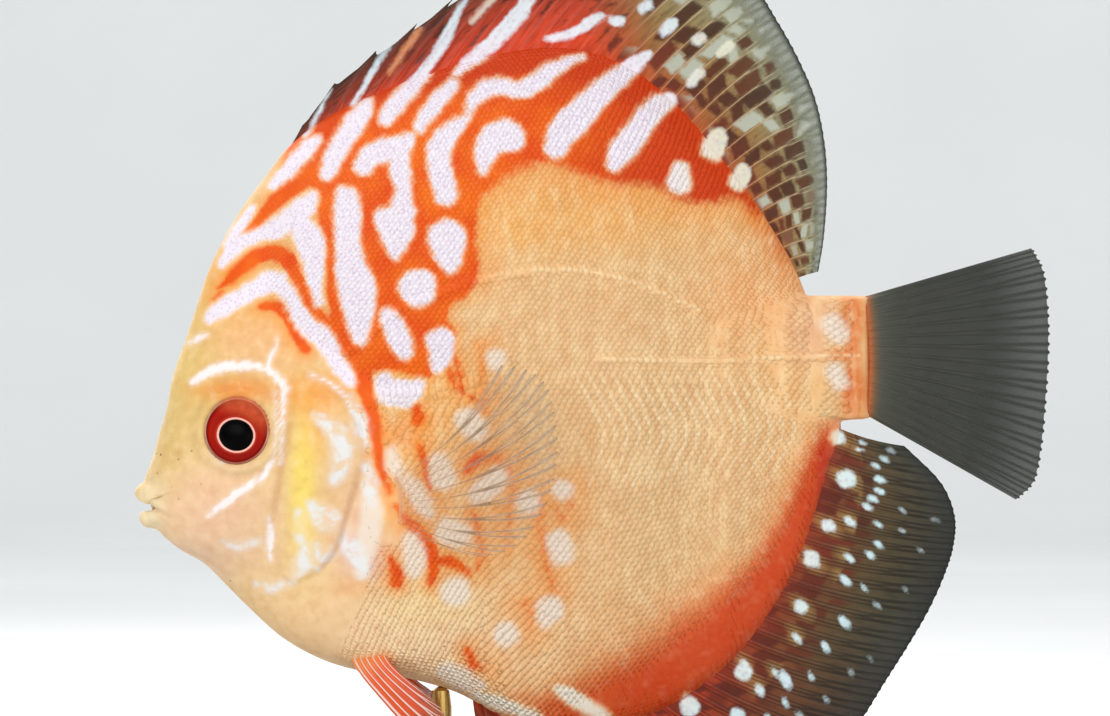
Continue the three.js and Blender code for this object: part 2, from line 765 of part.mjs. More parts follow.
// Stand: the rod, from the socket up to the belly between the pelvic fins.
function rodGeometry(clearance) {
  const bottom = BASE.height + SOCKET.height + 2 * JOIN_GAP - DISC_HEIGHT;
  const top = rimPoint(258)[1] + 5;
  const rod = new THREE.CylinderGeometry(ROD.radius, ROD.radius, top - bottom, 16);
  rod.rotateX(Math.PI / 2).translate(ROD.x, 0, (top + bottom) / 2);
  return geometryOf(solidOf(rod).subtract(clearance));
}

const finish = (colour, roughness, metalness = 0) =>
  new THREE.MeshStandardMaterial({ color: colour, roughness, metalness });
const SKIN = finish(0xf0c084, 0.45);
const FACE = finish(0xe9cf95, 0.45);
const LIP = finish(0xe6d8b2, 0.5);
const IRIS = finish(0xc52a16, 0.15);
const RED_FIN = finish(0xa8442a, 0.5);
const CLEAR_FIN = finish(0x8d8a80, 0.4);
const PELVIC = finish(0xe06a2c, 0.5);
const WOOD = finish(0x2b1c14, 0.5);
const BRASS = finish(0xb08d4a, 0.3, 1);

function node(name, geometry, material) {
  const mesh = new THREE.Mesh(geometry, material);
  mesh.name = name;
  return mesh;
}

const clearance = clearanceBody();
const fish = new THREE.Group();
fish.position.z = DISC_HEIGHT;
fish.add(node("head", headGeometry(), FACE));
fish.add(node("trunk", trunkGeometry(), SKIN));
fish.add(node("tail_stalk", stalkGeometry(), SKIN));
fish.add(node("upper_lip", lipGeometry(UPPER_LIP, clearance), LIP));
fish.add(node("lower_lip", lipGeometry(LOWER_LIP, clearance), LIP));

for (const [side, sign] of [
  ["left", -1],
  ["right", 1],
]) {
  fish.add(node(`gill_cover_${side}`, gillCoverSlab(sign), FACE));
  const eyeball = new THREE.LatheGeometry(eyeProfile(0), 20);
  fish.add(node(`eye_${side}`, placedOnFace(eyeball, sign, EYE), IRIS));
  const pectoral = pectoralGeometry(clearance);
  fish.add(node(`pectoral_fin_${side}`, sign < 0 ? pectoral : mirrored(pectoral), CLEAR_FIN));
  const pelvic = pelvicGeometry(clearance);
  fish.add(node(`pelvic_fin_${side}`, sign < 0 ? pelvic : mirrored(pelvic), PELVIC));
}

const [dorsalSpiny, dorsalSoft] = spinyAndSoft(DORSAL, DORSAL_TIPS);
fish.add(node("dorsal_fin_spiny", dorsalSpiny, RED_FIN));
fish.add(node("dorsal_fin_soft", dorsalSoft, RED_FIN));
const [analSpiny, analSoft] = spinyAndSoft(ANAL, ANAL_TIPS);
fish.add(node("anal_fin_spiny", analSpiny, RED_FIN));
fish.add(node("anal_fin_soft", analSoft, RED_FIN));
fish.add(node("caudal_fin", caudalGeometry(), CLEAR_FIN));
fish.add(node("stand_rod", rodGeometry(clearance), BRASS));

const stand = new THREE.Group();
stand.add(node("stand_base", baseGeometry(), WOOD));
const socket = node("stand_socket", socketGeometry(), BRASS);
socket.position.set(ROD.x, 0, BASE.height + JOIN_GAP);
stand.add(socket);

const model = new THREE.Group();
model.add(fish, stand);

export default model;
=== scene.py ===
import math

import bpy
import numpy as np
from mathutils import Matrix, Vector


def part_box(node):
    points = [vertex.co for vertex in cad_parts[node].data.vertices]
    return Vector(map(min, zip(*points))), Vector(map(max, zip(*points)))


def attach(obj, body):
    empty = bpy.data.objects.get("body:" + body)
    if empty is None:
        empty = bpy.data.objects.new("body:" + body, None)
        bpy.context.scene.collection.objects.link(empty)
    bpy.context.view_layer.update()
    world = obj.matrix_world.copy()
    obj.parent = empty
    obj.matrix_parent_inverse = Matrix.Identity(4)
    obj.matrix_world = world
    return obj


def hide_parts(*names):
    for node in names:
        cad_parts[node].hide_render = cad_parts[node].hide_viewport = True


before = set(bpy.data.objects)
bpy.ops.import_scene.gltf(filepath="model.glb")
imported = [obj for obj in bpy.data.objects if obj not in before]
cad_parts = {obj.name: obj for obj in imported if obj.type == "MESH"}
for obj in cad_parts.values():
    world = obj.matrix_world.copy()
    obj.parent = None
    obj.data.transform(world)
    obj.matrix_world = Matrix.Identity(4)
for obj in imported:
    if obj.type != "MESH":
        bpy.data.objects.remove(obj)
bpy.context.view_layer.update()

# Camera
# The fish is seen square on from its left side, a metre away through a long lens.
# A pixel of the 1110 by 716 frame is 0.18 mm at the fish's middle plane.
FRAME_WIDE, FRAME_TALL = 1110, 716
PIXEL = 0.00018
SENSOR = 36
SIGHT = 1.0
DISC = Vector((0.0, 0.0, 0.105))
DISC_PIXEL = (505, 375)

camera_x = (FRAME_WIDE / 2 - DISC_PIXEL[0]) * PIXEL
camera_z = DISC.z + (DISC_PIXEL[1] - FRAME_TALL / 2) * PIXEL
bpy.ops.object.camera_add(location=(camera_x, -SIGHT, camera_z), rotation=(math.pi / 2, 0, 0))
camera = bpy.context.object
camera.name = "camera"
camera.data.sensor_width = SENSOR
camera.data.lens = SENSOR * SIGHT / (FRAME_WIDE * PIXEL)
bpy.context.scene.camera = camera
bpy.context.scene.view_settings.view_transform = "Standard"


# Floor, backdrop and lights
# A pale sheet curves up from the floor behind the fish, with broad soft lamps above and in front.
# The lamps stay large, so that the wet skin has long soft highlights.
def shader_node(tree, kind, **settings):
    """Adds one shader node. A setting is its own property, an input's value, or what is linked to an input."""
    made = tree.nodes.new(kind)
    for name, value in settings.items():
        if hasattr(made, name):
            setattr(made, name, value)
        elif isinstance(value, bpy.types.NodeSocket):
            tree.links.new(value, made.inputs[name.replace("_", " ")])
        else:
            made.inputs[name.replace("_", " ")].default_value = value
    return made


def linear(red, green, blue):
    """A colour as seen on a screen, 0 to 255, as the light values that shaders use."""
    return tuple(((c / 255 + 0.055) / 1.055) ** 2.4 if c > 10 else c / 3295 for c in (red, green, blue))


def paint(name, roughness, coat=0.0, metallic=0.0):
    """A new material with its surface shader."""
    material = bpy.data.materials.new(name)
    material.use_nodes = True
    tree = material.node_tree
    shader = tree.nodes["Principled BSDF"]
    shader.inputs["Specular IOR Level"].default_value = 0.2
    shader.inputs["Roughness"].default_value = roughness
    shader.inputs["Coat Weight"].default_value = coat
    shader.inputs["Coat Roughness"].default_value = 0.12
    shader.inputs["Metallic"].default_value = metallic
    return material, tree, shader


def object_place(tree):
    return shader_node(tree, "ShaderNodeTexCoord").outputs["Object"]


def noise(tree, place, scale, detail):
    return shader_node(tree, "ShaderNodeTexNoise", Vector=place, Scale=scale, Detail=detail).outputs["Fac"]


def colour_ramp(tree, source, stops):
    """Colours along a pattern, from (position, colour) stops."""
    made = shader_node(tree, "ShaderNodeValToRGB", Fac=source)
    elements = made.color_ramp.elements
    while len(elements) < len(stops):
        elements.new(0.5)
    for element, (position, colour) in zip(elements, stops):
        element.position = position
        element.color = (*colour, 1)
    return made.outputs["Color"]


def speckled(tree, shader, scale, low, high, detail, stretch=(1, 1, 1)):
    """Colours a surface with a noise pattern between two colours, and returns the pattern."""
    place = shader_node(tree, "ShaderNodeMapping", Vector=object_place(tree), Scale=stretch).outputs["Vector"]
    pattern = noise(tree, place, scale, detail)
    tree.links.new(colour_ramp(tree, pattern, [(0.35, low), (0.68, high)]), shader.inputs["Base Color"])
    return pattern


FLOOR_SIZE, WALL_PLACE, WALL_HIGH = 14, 3.2, 4
bpy.ops.object.select_all(action="DESELECT")
bpy.ops.mesh.primitive_plane_add(size=FLOOR_SIZE, location=(0, WALL_PLACE - FLOOR_SIZE / 2, 0))
backdrop = bpy.context.object
backdrop.name = "backdrop"
bpy.ops.object.mode_set(mode="EDIT")
bpy.ops.mesh.select_all(action="DESELECT")
bpy.ops.object.mode_set(mode="OBJECT")
for edge in backdrop.data.edges:
    edge.select = all(backdrop.data.vertices[v].co.y > 0 for v in edge.vertices)
bpy.ops.object.mode_set(mode="EDIT")
bpy.ops.mesh.extrude_region_move(TRANSFORM_OT_translate={"value": (0, 0, WALL_HIGH)})
bpy.ops.object.mode_set(mode="OBJECT")
bend = backdrop.modifiers.new("curve", "BEVEL")
bend.width = 0.9
bend.segments = 24
bpy.ops.object.modifier_apply(modifier="curve")
bpy.ops.object.transform_apply(location=True, rotation=True, scale=True)
bpy.ops.object.shade_smooth()
paper, tree, shader = paint("pale_paper", 0.9)
speckled(tree, shader, 3.0, (0.74, 0.75, 0.74), (0.78, 0.79, 0.78), 3.0)
backdrop.data.materials.append(paper)

# Each lamp's place, the point it lights, its width in metres and its power in watts
for name, place, aim, size, power in (
    ("key_lamp", (-0.45, -1.05, 0.85), (0.0, 0.0, 0.1), 0.9, 9.3),
    ("fill_lamp", (0.7, -1.2, 0.15), (0.0, 0.0, 0.1), 1.0, 4.5),
    ("top_lamp", (0.1, 0.3, 1.1), (0.0, 0.0, 0.1), 0.8, 5),
    ("rear_lamp", (-0.6, 0.8, 0.5), (0.0, 0.0, 0.1), 0.8, 4),
    ("wall_lamp", (0.0, 1.0, 2.2), (0.0, 3.2, 0.4), 1.8, 36),
):
    bpy.ops.object.light_add(type="AREA", location=place)
    lamp = bpy.context.object
    lamp.name = name
    lamp.data.size = size
    lamp.data.energy = power
    lamp.visible_camera = False
    lamp.rotation_euler = (Vector(aim) - Vector(place)).to_track_quat("-Z", "Y").to_euler()
world = bpy.context.scene.world or bpy.data.worlds.new("room")
bpy.context.scene.world = world
world.use_nodes = True
daylight = world.node_tree.nodes["Background"].inputs
daylight["Color"].default_value = (0.93, 0.96, 1.0, 1)
daylight["Strength"].default_value = 0.5


# Stand
# A dark varnished hardwood block carries a turned brass socket, with a brass rod up to the belly.
# The block's top edge is rounded over, and the socket is screwed down onto it.
def ride_root(piece, slot, *nodes):
    """Lets a finished piece ride on the model in place of its CAD nodes. Its slot is not used."""
    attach(piece, "root")
    if nodes:
        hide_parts(*nodes)
    return piece


def pick(piece):
    """Selects a piece and nothing else."""
    bpy.ops.object.select_all(action="DESELECT")
    piece.select_set(True)
    bpy.context.view_layer.objects.active = piece


def settle(piece):
    """Puts a piece's place into its mesh, so that its object sits at the origin."""
    pick(piece)
    bpy.ops.object.transform_apply(location=True, rotation=True, scale=True)


def new_piece(name, mesh):
    piece = bpy.data.objects.new(name, mesh)
    bpy.context.scene.collection.objects.link(piece)
    return piece


def on_all(operator, **settings):
    """Runs an edit-mode operator on all of the active piece."""
    bpy.ops.object.mode_set(mode="EDIT")
    bpy.ops.mesh.select_all(action="SELECT")
    operator(**settings)
    bpy.ops.object.mode_set(mode="OBJECT")


def face_outwards():
    on_all(bpy.ops.mesh.normals_make_consistent, inside=False)


def raise_grain(tree, shader, pattern, strength):
    """Fine relief in a finish, from a pattern."""
    bump = shader_node(tree, "ShaderNodeBump", Height=pattern, Strength=strength, Distance=0.0002)
    tree.links.new(bump.outputs["Normal"], shader.inputs["Normal"])


low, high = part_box("stand_base")
BLOCK_CORNER = 0.009
# The block's edge from the floor up, as (height, how far in from its full outline), both in metres
BLOCK_EDGE = [(0, 0.0006), (0.0003, 0.0001), (0.0009, 0), (0.0064, 0), (0.007, 0.0002), (0.0075, 0.0006),
              (0.0078, 0.0011), (0.008, 0.0019)]
bpy.ops.object.select_all(action="DESELECT")
bpy.ops.mesh.primitive_plane_add(size=1, location=(0, 0, low.z))
block = bpy.context.object
block.name = "stand_block"
block.scale = (high.x - low.x, high.y - low.y, 1)
settle(block)
bpy.ops.object.mode_set(mode="EDIT")
bpy.ops.mesh.select_all(action="SELECT")
bpy.ops.mesh.bevel(offset=BLOCK_CORNER, segments=12, affect="VERTICES")
was_up, was_in = 0, 0
for up, inward in BLOCK_EDGE:
    if up:
        bpy.ops.mesh.extrude_region_move(TRANSFORM_OT_translate={"value": (0, 0, up - was_up)})
    shrink = [(half - inward) / (half - was_in) for half in (high.x, high.y)]
    bpy.ops.transform.resize(value=(*shrink, 1), center_override=(0, 0, 0))
    was_up, was_in = up, inward
face_outwards()
bpy.ops.object.shade_smooth_by_angle(angle=math.radians(40))

varnish, tree, shader = paint("dark_varnished_wood", 0.28, coat=0.6)
pattern = speckled(tree, shader, 60.0, linear(38, 22, 14), linear(74, 44, 27), 6.0, (0.25, 5.0, 5.0))
raise_grain(tree, shader, pattern, 0.15)
block.data.materials.append(varnish)
ride_root(block, "stand_wood", "stand_base")

brass, tree, shader = paint("satin_brass", 0.26, metallic=1.0)
speckled(tree, shader, 500.0, linear(172, 136, 72), linear(202, 168, 100), 4.0, (1.0, 1.0, 0.05))


def turned(name, profile, place, steps=48):
    """A shape turned about the upright axis from a profile of (radius, height) points in metres."""
    mesh = bpy.data.meshes.new(name)
    mesh.from_pydata([(r, 0, h) for r, h in profile], [(i, i + 1) for i in range(len(profile) - 1)], [])
    piece = new_piece(name, mesh)
    pick(piece)
    on_all(bpy.ops.mesh.spin, steps=steps, angle=math.tau, center=(0, 0, 0), axis=(0, 0, 1))
    on_all(bpy.ops.mesh.remove_doubles, threshold=1e-6)
    face_outwards()
    piece.location = place
    settle(piece)
    bpy.ops.object.shade_smooth_by_angle(angle=math.radians(35))
    return piece


# How far the socket reaches into the block, and the rod into the socket, in metres
SOCKET_SUNK, ROD_SUNK = 0.0003, 0.0006
low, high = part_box("stand_socket")
radius, tall = (high.x - low.x) / 2, high.z - low.z
socket = turned(
    "stand_turned_socket",
    [
        (0, -SOCKET_SUNK), (radius, -SOCKET_SUNK), (radius, 0.0012), (radius - 0.0004, 0.0016),
        (radius - 0.0009, 0.0018), (radius - 0.0009, 0.0023), (radius - 0.0003, 0.0028),
        (radius - 0.0006, 0.0036),
        (radius - 0.0018, 0.0046), (radius - 0.0022, tall - 0.0004), (radius - 0.0025, tall), (0, tall),
    ],
    ((low.x + high.x) / 2, 0, low.z),
)
socket.data.materials.append(brass)
ride_root(socket, "stand_brass", "stand_socket")

low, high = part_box("stand_rod")
radius, tall = (high.x - low.x) / 2, high.z - low.z
rod = turned(
    "stand_turned_rod",
    [(0, -ROD_SUNK), (radius, -ROD_SUNK), (radius, tall - 0.004), (radius * 0.8, tall - 0.001), (0, tall)],
    ((low.x + high.x) / 2, 0, low.z),
    32,
)
rod.data.materials.append(brass)
ride_root(rod, "stand_brass", "stand_rod")


# Skin
# One unbroken skin over the head, trunk and tail stalk, with lips, gill covers, nostrils and eye rims.
# It is a grid for each flank, laid over the disc from head to tail and welded along the outline.
MM = 0.001
PIXEL_MM = 0.18
# The disc's radius, in millimetres, at each angle in degrees from the tail upwards, with the lips at about 200
RIM_RADIUS = np.array(
    [(-10, 61.4), (8, 57), (20, 55.6), (32, 55), (45, 55.5), (57, 57.9), (68, 60.1), (77, 60.5), (86, 59.2),
     (95, 57.4), (104, 56.3), (115, 55.9), (125, 56.4), (133, 56.6), (141, 56), (150, 56.1), (160, 56.5),
     (168, 56.9), (174, 57.9), (180, 59.7), (186, 61.3), (190.5, 63.6), (193, 65.0), (195, 66.6), (196.6, 68.2),
     (197.6, 68.9), (198.6, 69.0), (199.1, 68.6), (199.5, 66.8), (199.95, 68.6), (200.6, 69.5), (201.4, 69.8),
     (202.4, 69.4), (203.6, 68.6), (205.6, 67.8), (208.5, 66.2), (212, 63.9), (217, 62.8), (223, 62.2),
     (230, 61.9), (237, 60.9), (243, 59.5), (248, 58), (254, 57.2), (260, 57.5), (264, 58.7), (268, 60.9),
     (273, 63.6), (279, 65.8), (288, 66.9), (297, 67), (307, 66.3), (317, 64.7), (327, 63.1), (336, 61.6),
     (344, 61), (350, 61.4), (368, 57)]
)
# The same without the lips, for whatever only follows the body
CALM_RADIUS = np.array(sorted([tuple(row) for row in RIM_RADIUS if not 194 < row[0] < 205] + [(200, 68.3)]))
# Half the width in the middle, its share along the length, half the width at the rim, how full the section is, and
# half the width of the tail stalk
MIDDLE_HALF = 13.2
LENGTHWISE = [(-68, 0.72), (-60, 0.84), (-50, 0.97), (-38, 1.03), (0, 1), (20, 0.93), (40, 0.74), (56, 0.5),
              (66, 0.4)]
RIM_HALF = [(0, 1.5), (118, 1.5), (137, 0.9), (152, 0.4), (186, 0.6), (194, 2.2), (201, 2.9), (208, 2.0),
            (218, 0.7), (250, 0.5), (268, 1.3), (285, 1.5), (360, 1.5)]
LEANNESS = [(0, 0.72), (112, 0.72), (150, 0.54), (190, 0.5), (250, 0.5), (278, 0.74), (360, 0.72)]
STALK_HALF = [(40, 5.0), (50, 4.4), (57, 3.4), (65, 2.3)]
STALK_END, STALK_TOP, STALK_BOTTOM = 65.7, 14.3, -8.0
MOUTH_ANGLE = 199.5
EYE = np.array([-47.7, -9.95])
EYE_RADIUS = 6.0


def eased(table, place):
    """Reads a table of (place, value) rows with a smooth step between rows."""
    table = np.array(table, float)
    place = np.clip(place, table[0, 0], table[-1, 0])
    i = np.clip(np.searchsorted(table[:, 0], place) - 1, 0, len(table) - 2)
    t = (place - table[i, 0]) / (table[i + 1, 0] - table[i, 0])
    return table[i, 1] + (table[i + 1, 1] - table[i, 1]) * t * t * (3 - 2 * t)


def smoothed(table, place):
    """Reads a table of rows (place, values...) on a smooth curve through them."""
    table = np.array(table, float)
    i = np.clip(np.searchsorted(table[:, 0], place) - 1, 0, len(table) - 2)
    before, after = np.maximum(i - 1, 0), np.minimum(i + 2, len(table) - 1)
    span = (table[i + 1, 0] - table[i, 0])[..., None]
    t = ((place - table[i, 0])[..., None]) / span
    start, end = table[i, 1:], table[i + 1, 1:]
    slope_start = (end - table[before, 1:]) / (table[i + 1, 0] - table[before, 0])[..., None] * span
    slope_end = (table[after, 1:] - start) / (table[after, 0] - table[i, 0])[..., None] * span
    return (
        start * (1 + 2 * t) * (1 - t) ** 2
        + slope_start * t * (1 - t) ** 2
        + end * t * t * (3 - 2 * t)
        + slope_end * t * t * (t - 1)
    )


def smoothstep(value, low, high):
    t = np.clip((value - low) / (high - low), 0, 1)
    return t * t * (3 - 2 * t)


def disc_radius(angle, table=RIM_RADIUS):
    """The round body's radius, in millimetres, at an angle in degrees."""
    return smoothed(table, np.where(angle > 358, angle - 360, angle))[..., 0]


def rim_radius(angle):
    """The outline's radius, with the tail stalk's short bar standing out of the round body."""
    disc = disc_radius(angle)
    turn = np.radians(angle)
    end = STALK_END / np.maximum(np.cos(turn), 0.2)
    top = STALK_TOP / np.maximum(np.sin(turn), 1e-3)
    bottom = -STALK_BOTTOM / np.maximum(-np.sin(turn), 1e-3)
    stalk = -np.log(np.exp(-end) + np.exp(-np.minimum(top, 500)) + np.exp(-np.minimum(bottom, 500)))
    return np.maximum(disc, np.where(np.cos(turn) > 0.5, stalk, 0))


def angle_of(x, z):
    return np.degrees(np.arctan2(z, x)) % 360


def bare_half(x, z):
    """Half the fish's width, in millimetres, at a place of its side view about the disc's centre."""
    angle = angle_of(x, z)
    share = np.clip(np.hypot(x, z) / rim_radius(angle), 0, 1)
    disc_share = np.clip(np.hypot(x, z) / disc_radius(angle, CALM_RADIUS), 0, 1)
    rim = eased(RIM_HALF, angle)
    middle = MIDDLE_HALF * eased(LENGTHWISE, x)
    disc = rim + (middle - rim) * (1 - disc_share**2) ** eased(LEANNESS, angle)
    across = (z - 3.2) / 11.4
    stalk = np.where(x < 30, 0, 0.3 + eased(STALK_HALF, x) * np.sqrt(np.clip(1 - across**2, 0, 1)))
    fuse = np.clip(1 - np.abs(disc - stalk) / 2.4, 0, 1)
    whole = np.maximum(disc, stalk) + 0.6 * fuse**2 * smoothstep(x, 30, 40)
    return whole * np.sqrt(np.clip(1 - share**44, 0, 1))


def as_pixels(x, y, z):
    """Where the camera sees a point given in millimetres about the disc's centre, for either flank."""
    zoom = 1 / (1 - np.abs(y) * MM / SIGHT)
    across = (x - camera_x / MM) * zoom
    up = (z - (camera_z - DISC.z) / MM) * zoom
    return FRAME_WIDE / 2 + across * MM / PIXEL, FRAME_TALL / 2 - up * MM / PIXEL


def flowing(stroke, steps=4):
    """A stroke of (x, y, half width) pixels with its corners smoothed."""
    if len(stroke) < 3:
        return stroke
    last = len(stroke) - 1
    table = np.column_stack([np.arange(len(stroke)), np.array(stroke, float)])
    return [tuple(row) for row in smoothed(table, np.linspace(0, last, last * steps + 1))]


def stroke_depth(px, py, strokes, reach=30):
    """How far inside a set of brush strokes each place is, in pixels, and below 0 outside them."""
    depth = np.full(px.shape, -float(reach))
    for stroke in strokes:
        points = flowing(stroke)
        if len(points) == 1:
            points = points * 2
        for (x0, y0, r0), (x1, y1, r1) in zip(points[:-1], points[1:]):
            far = r0 + reach
            near = (px > min(x0, x1) - far) & (px < max(x0, x1) + far)
            near &= (py > min(y0, y1) - far) & (py < max(y0, y1) + far)
            if not near.any():
                continue
            qx, qy = px[near] - x0, py[near] - y0
            dx, dy = x1 - x0, y1 - y0
            t = np.clip((qx * dx + qy * dy) / max(dx * dx + dy * dy, 1e-6), 0, 1)
            inside = r0 + (r1 - r0) * t - np.hypot(qx - t * dx, qy - t * dy)
            depth[near] = np.maximum(depth[near], inside)
    return depth


def area_depth(px, py, corners):
    """How far inside a closed outline each place is, in pixels, and below 0 outside it."""
    ring = [p[:2] for p in flowing([(*c, 0) for c in corners + corners[:1]], 3)]
    nearest = np.full(px.shape, 1e9)
    inside = np.zeros(px.shape, bool)
    for (x0, y0), (x1, y1) in zip(ring[:-1], ring[1:]):
        dx, dy = x1 - x0, y1 - y0
        t = np.clip(((px - x0) * dx + (py - y0) * dy) / max(dx * dx + dy * dy, 1e-6), 0, 1)
        nearest = np.minimum(nearest, np.hypot(px - x0 - t * dx, py - y0 - t * dy))
        inside ^= ((y0 > py) != (y1 > py)) & (px < dx * (py - y0) / (dy if dy else 1e-9) + x0)
    return np.where(inside, nearest, -nearest)


# The head's own forms, as outlines and strokes in the camera's pixels
GILL_EDGE = [(281, 572), (292, 584), (307, 578), (324, 565), (337, 547), (345, 520), (354, 494), (361, 470),
             (362, 446), (357, 423), (345, 402), (329, 388), (310, 380), (296, 388), (291, 415), (287, 450),
             (281, 490), (277, 530)]
CHEEK_CREASE = [[(290, 425, 0), (285, 450, 0), (280, 475, 0), (277, 500, 0), (273, 530, 0), (271, 560, 0)]]
HEAD_CANALS = [
    [(191, 383, 2.5), (204, 375, 4.5), (221, 368, 4.5), (244, 365, 4), (262, 367, 3.5), (275, 375, 3.5),
     (285, 388, 3.5)],
    [(268, 366, 2), (273, 352, 2.5), (277, 339, 1)],
    [(284, 390, 3), (282, 413, 2.5), (283, 440, 2), (281, 462, 2)],
    [(272, 462, 2), (262, 477, 3.5), (243, 489, 4), (227, 501, 4), (206, 516, 2)],
]
MOUTH_LINE = [[(132, 504, 2.2), (143, 505.5, 2.0), (152, 508, 1.5), (160, 511, 1.0), (166, 515, 0.5)]]
JAW_LINES = [
    [(163, 513, 0), (175, 520, 0), (190, 524, 0)],
    [(166, 478, 0), (176, 490, 0), (184, 505, 0)],
    [(248, 597, 0), (268, 603, 0), (290, 600, 0), (312, 590, 0)],
    [(300, 600, 0), (330, 585, 0), (347, 560, 0)],
]
LATERAL_LINE = [
    [(340, 354, 1), (360, 342, 1), (375, 328, 1), (402, 307, 1), (435, 295, 1), (477, 280, 1), (520, 272, 1),
     (560, 269, 1), (600, 273, 1), (650, 288, 1), (700, 310, 1)],
    [(600, 358, 1), (660, 360, 1), (720, 361, 1), (760, 358, 1), (862, 355, 1)],
]
NOSTRIL = (177, 454)
FIN_LOBE = (386, 515)


def ridge(distance, width):
    """A rounded ridge, 1 high on its line and fading over its width."""
    return np.exp(-((distance / width) ** 2))


def line_gap(px, py, strokes):
    """How far each place is from a set of thin lines, in millimetres."""
    return -stroke_depth(px, py, strokes) * PIXEL_MM


def relief(x, z):
    """How far the head's own forms and the lateral line stand out of the bare flank, in millimetres."""
    px, py = as_pixels(x, bare_half(x, z), z)
    gill = area_depth(px, py, GILL_EDGE) * PIXEL_MM
    proud = 0.6 * smoothstep(gill, -0.25, 0.45) * (0.55 + 0.45 * smoothstep(px, 285, 335))
    proud -= 0.22 * ridge(gill + 0.5, 0.5) * (1 - 0.6 * smoothstep(py, 520, 570))
    proud += 0.25 * smoothstep(gill, 0, 6)
    crease = line_gap(px, py, CHEEK_CREASE)
    proud -= 0.3 * ridge(crease, 0.55)
    proud += 0.16 * ridge(crease - 1.1, 0.8) * (px < 285)
    proud += 0.16 * smoothstep(stroke_depth(px, py, HEAD_CANALS), -3, 4)
    proud -= 0.14 * ridge(line_gap(px, py, JAW_LINES), 0.35)
    proud += 0.10 * ridge(line_gap(px, py, LATERAL_LINE), 0.3)
    from_eye = np.hypot((x - EYE[0]) / 1.02, z - EYE[1])
    proud += 0.55 * ridge(from_eye - EYE_RADIUS - 1.0, 0.8)
    proud -= 0.5 * ridge(from_eye - EYE_RADIUS - 2.9, 1.3)
    proud -= 2.4 * (1 - smoothstep(from_eye, EYE_RADIUS - 1.0, EYE_RADIUS - 0.15))
    proud += 0.55 * ridge(np.hypot((px - FIN_LOBE[0]) / 13, (py - FIN_LOBE[1]) / 22), 1)
    nostril = np.hypot(px - NOSTRIL[0], (py - NOSTRIL[1]) * 0.8) * PIXEL_MM
    proud += 0.2 * ridge(nostril - 1.05, 0.4) - 0.75 * ridge(nostril, 0.5)
    return proud


def lips(x, z):
    """How far the lips and the line of the mouth stand out of the snout, along its surface normal."""
    px, py = as_pixels(x, 0, z)
    back = smoothstep(px, 168, 146)
    upper = np.interp(px, [134, 150, 162], [491, 497, 506])
    lower = np.interp(px, [134, 150, 162], [520, 521, 516])
    proud = 1.0 * back * ridge(py - upper, 8.5)
    proud += 1.15 * back * ridge(py - lower, 9.5)
    slit = stroke_depth(px, py, MOUTH_LINE)
    proud -= 2.3 * smoothstep(px, 168, 140) * ridge(np.minimum(slit, 0), 2.6)
    proud -= 0.35 * smoothstep(px, 172, 150) * ridge(py - np.interp(px, [140, 160, 172], [479, 486, 496]), 4)
    return proud


# Steps of the grid from the disc's centre to its rim, evened out along the swelling of the flank
arc = np.linspace(0, 1, 4001)
run = np.concatenate([[0], np.cumsum(np.hypot(60 * np.diff(arc), np.diff(12.5 * np.sqrt(1 - arc**2))))])
run /= run[-1]


def side_place(along, across):
    """The side-view place of a point of the flank's square grid, from head to tail and from belly to back."""
    u = along * np.sqrt(1 - across**2 / 2)
    v = across * np.sqrt(1 - along**2 / 2)
    angle = np.degrees(np.arctan2(v, u)) % 360
    from_mouth = angle - MOUTH_ANGLE
    angle = angle - 0.6 * from_mouth * np.exp(-((from_mouth / 13) ** 2))
    share = np.interp(np.hypot(u, v), run, arc)
    inner = disc_radius(angle, CALM_RADIUS)
    reach = share * (inner + (rim_radius(angle) - inner) * share**8)
    return reach * np.cos(np.radians(angle)), reach * np.sin(np.radians(angle))


def bare_point(along, across):
    """The left flank without the head's own forms."""
    x, z = side_place(np.clip(along, -1, 1), np.clip(across, -1, 1))
    return np.stack([x, -bare_half(x, z), z], -1)


def flank_point(along, across):
    """The skin's left flank at a place of its grid."""
    x, z = side_place(along, across)
    return np.stack([x, -bare_half(x, z) - relief(x, z), z], -1)


def coordinates(piece):
    """A piece's vertices as rows."""
    rows = np.zeros(len(piece.data.vertices) * 3, np.float32)
    piece.data.vertices.foreach_get("co", rows)
    return rows.reshape(-1, 3).astype(float)


def set_coordinates(piece, rows):
    piece.data.vertices.foreach_set("co", rows.astype(np.float32).ravel())
    piece.data.update()


def in_place(points):
    """Points in millimetres about the disc's centre, in metres about the origin."""
    return points * MM + np.array(DISC)


SKIN_STEPS = 196
skins = []
for side in (1, -1):
    bpy.ops.object.select_all(action="DESELECT")
    bpy.ops.mesh.primitive_grid_add(x_subdivisions=SKIN_STEPS, y_subdivisions=SKIN_STEPS, size=2)
    flank = bpy.context.object
    grid = np.array([v.co for v in flank.data.vertices])
    along = np.clip(grid[:, 0] + 0.2 * (grid[:, 0] ** 2 - 1), -1, 1)
    points = flank_point(along, np.clip(grid[:, 1], -1, 1))
    points[:, 1] *= side
    set_coordinates(flank, points)
    if side < 0:
        on_all(bpy.ops.mesh.flip_normals)
    skins.append(flank)
pick(skins[0])
skins[1].select_set(True)
bpy.ops.object.join()
skin = bpy.context.object
skin.name = "skin"
on_all(bpy.ops.mesh.remove_doubles, threshold=0.02)
bpy.ops.object.shade_smooth()

# The lips swell along the skin's own normals, in front of this place
SNOUT_END = -52
skin_points = coordinates(skin)
normals = np.zeros(len(skin_points) * 3, np.float32)
skin.data.vertices.foreach_get("normal", normals)
snout = skin_points[:, 0] < SNOUT_END
proud = lips(skin_points[snout, 0], skin_points[snout, 2])
skin_points[snout] += normals.reshape(-1, 3)[snout] * proud[:, None]
set_coordinates(skin, in_place(skin_points))


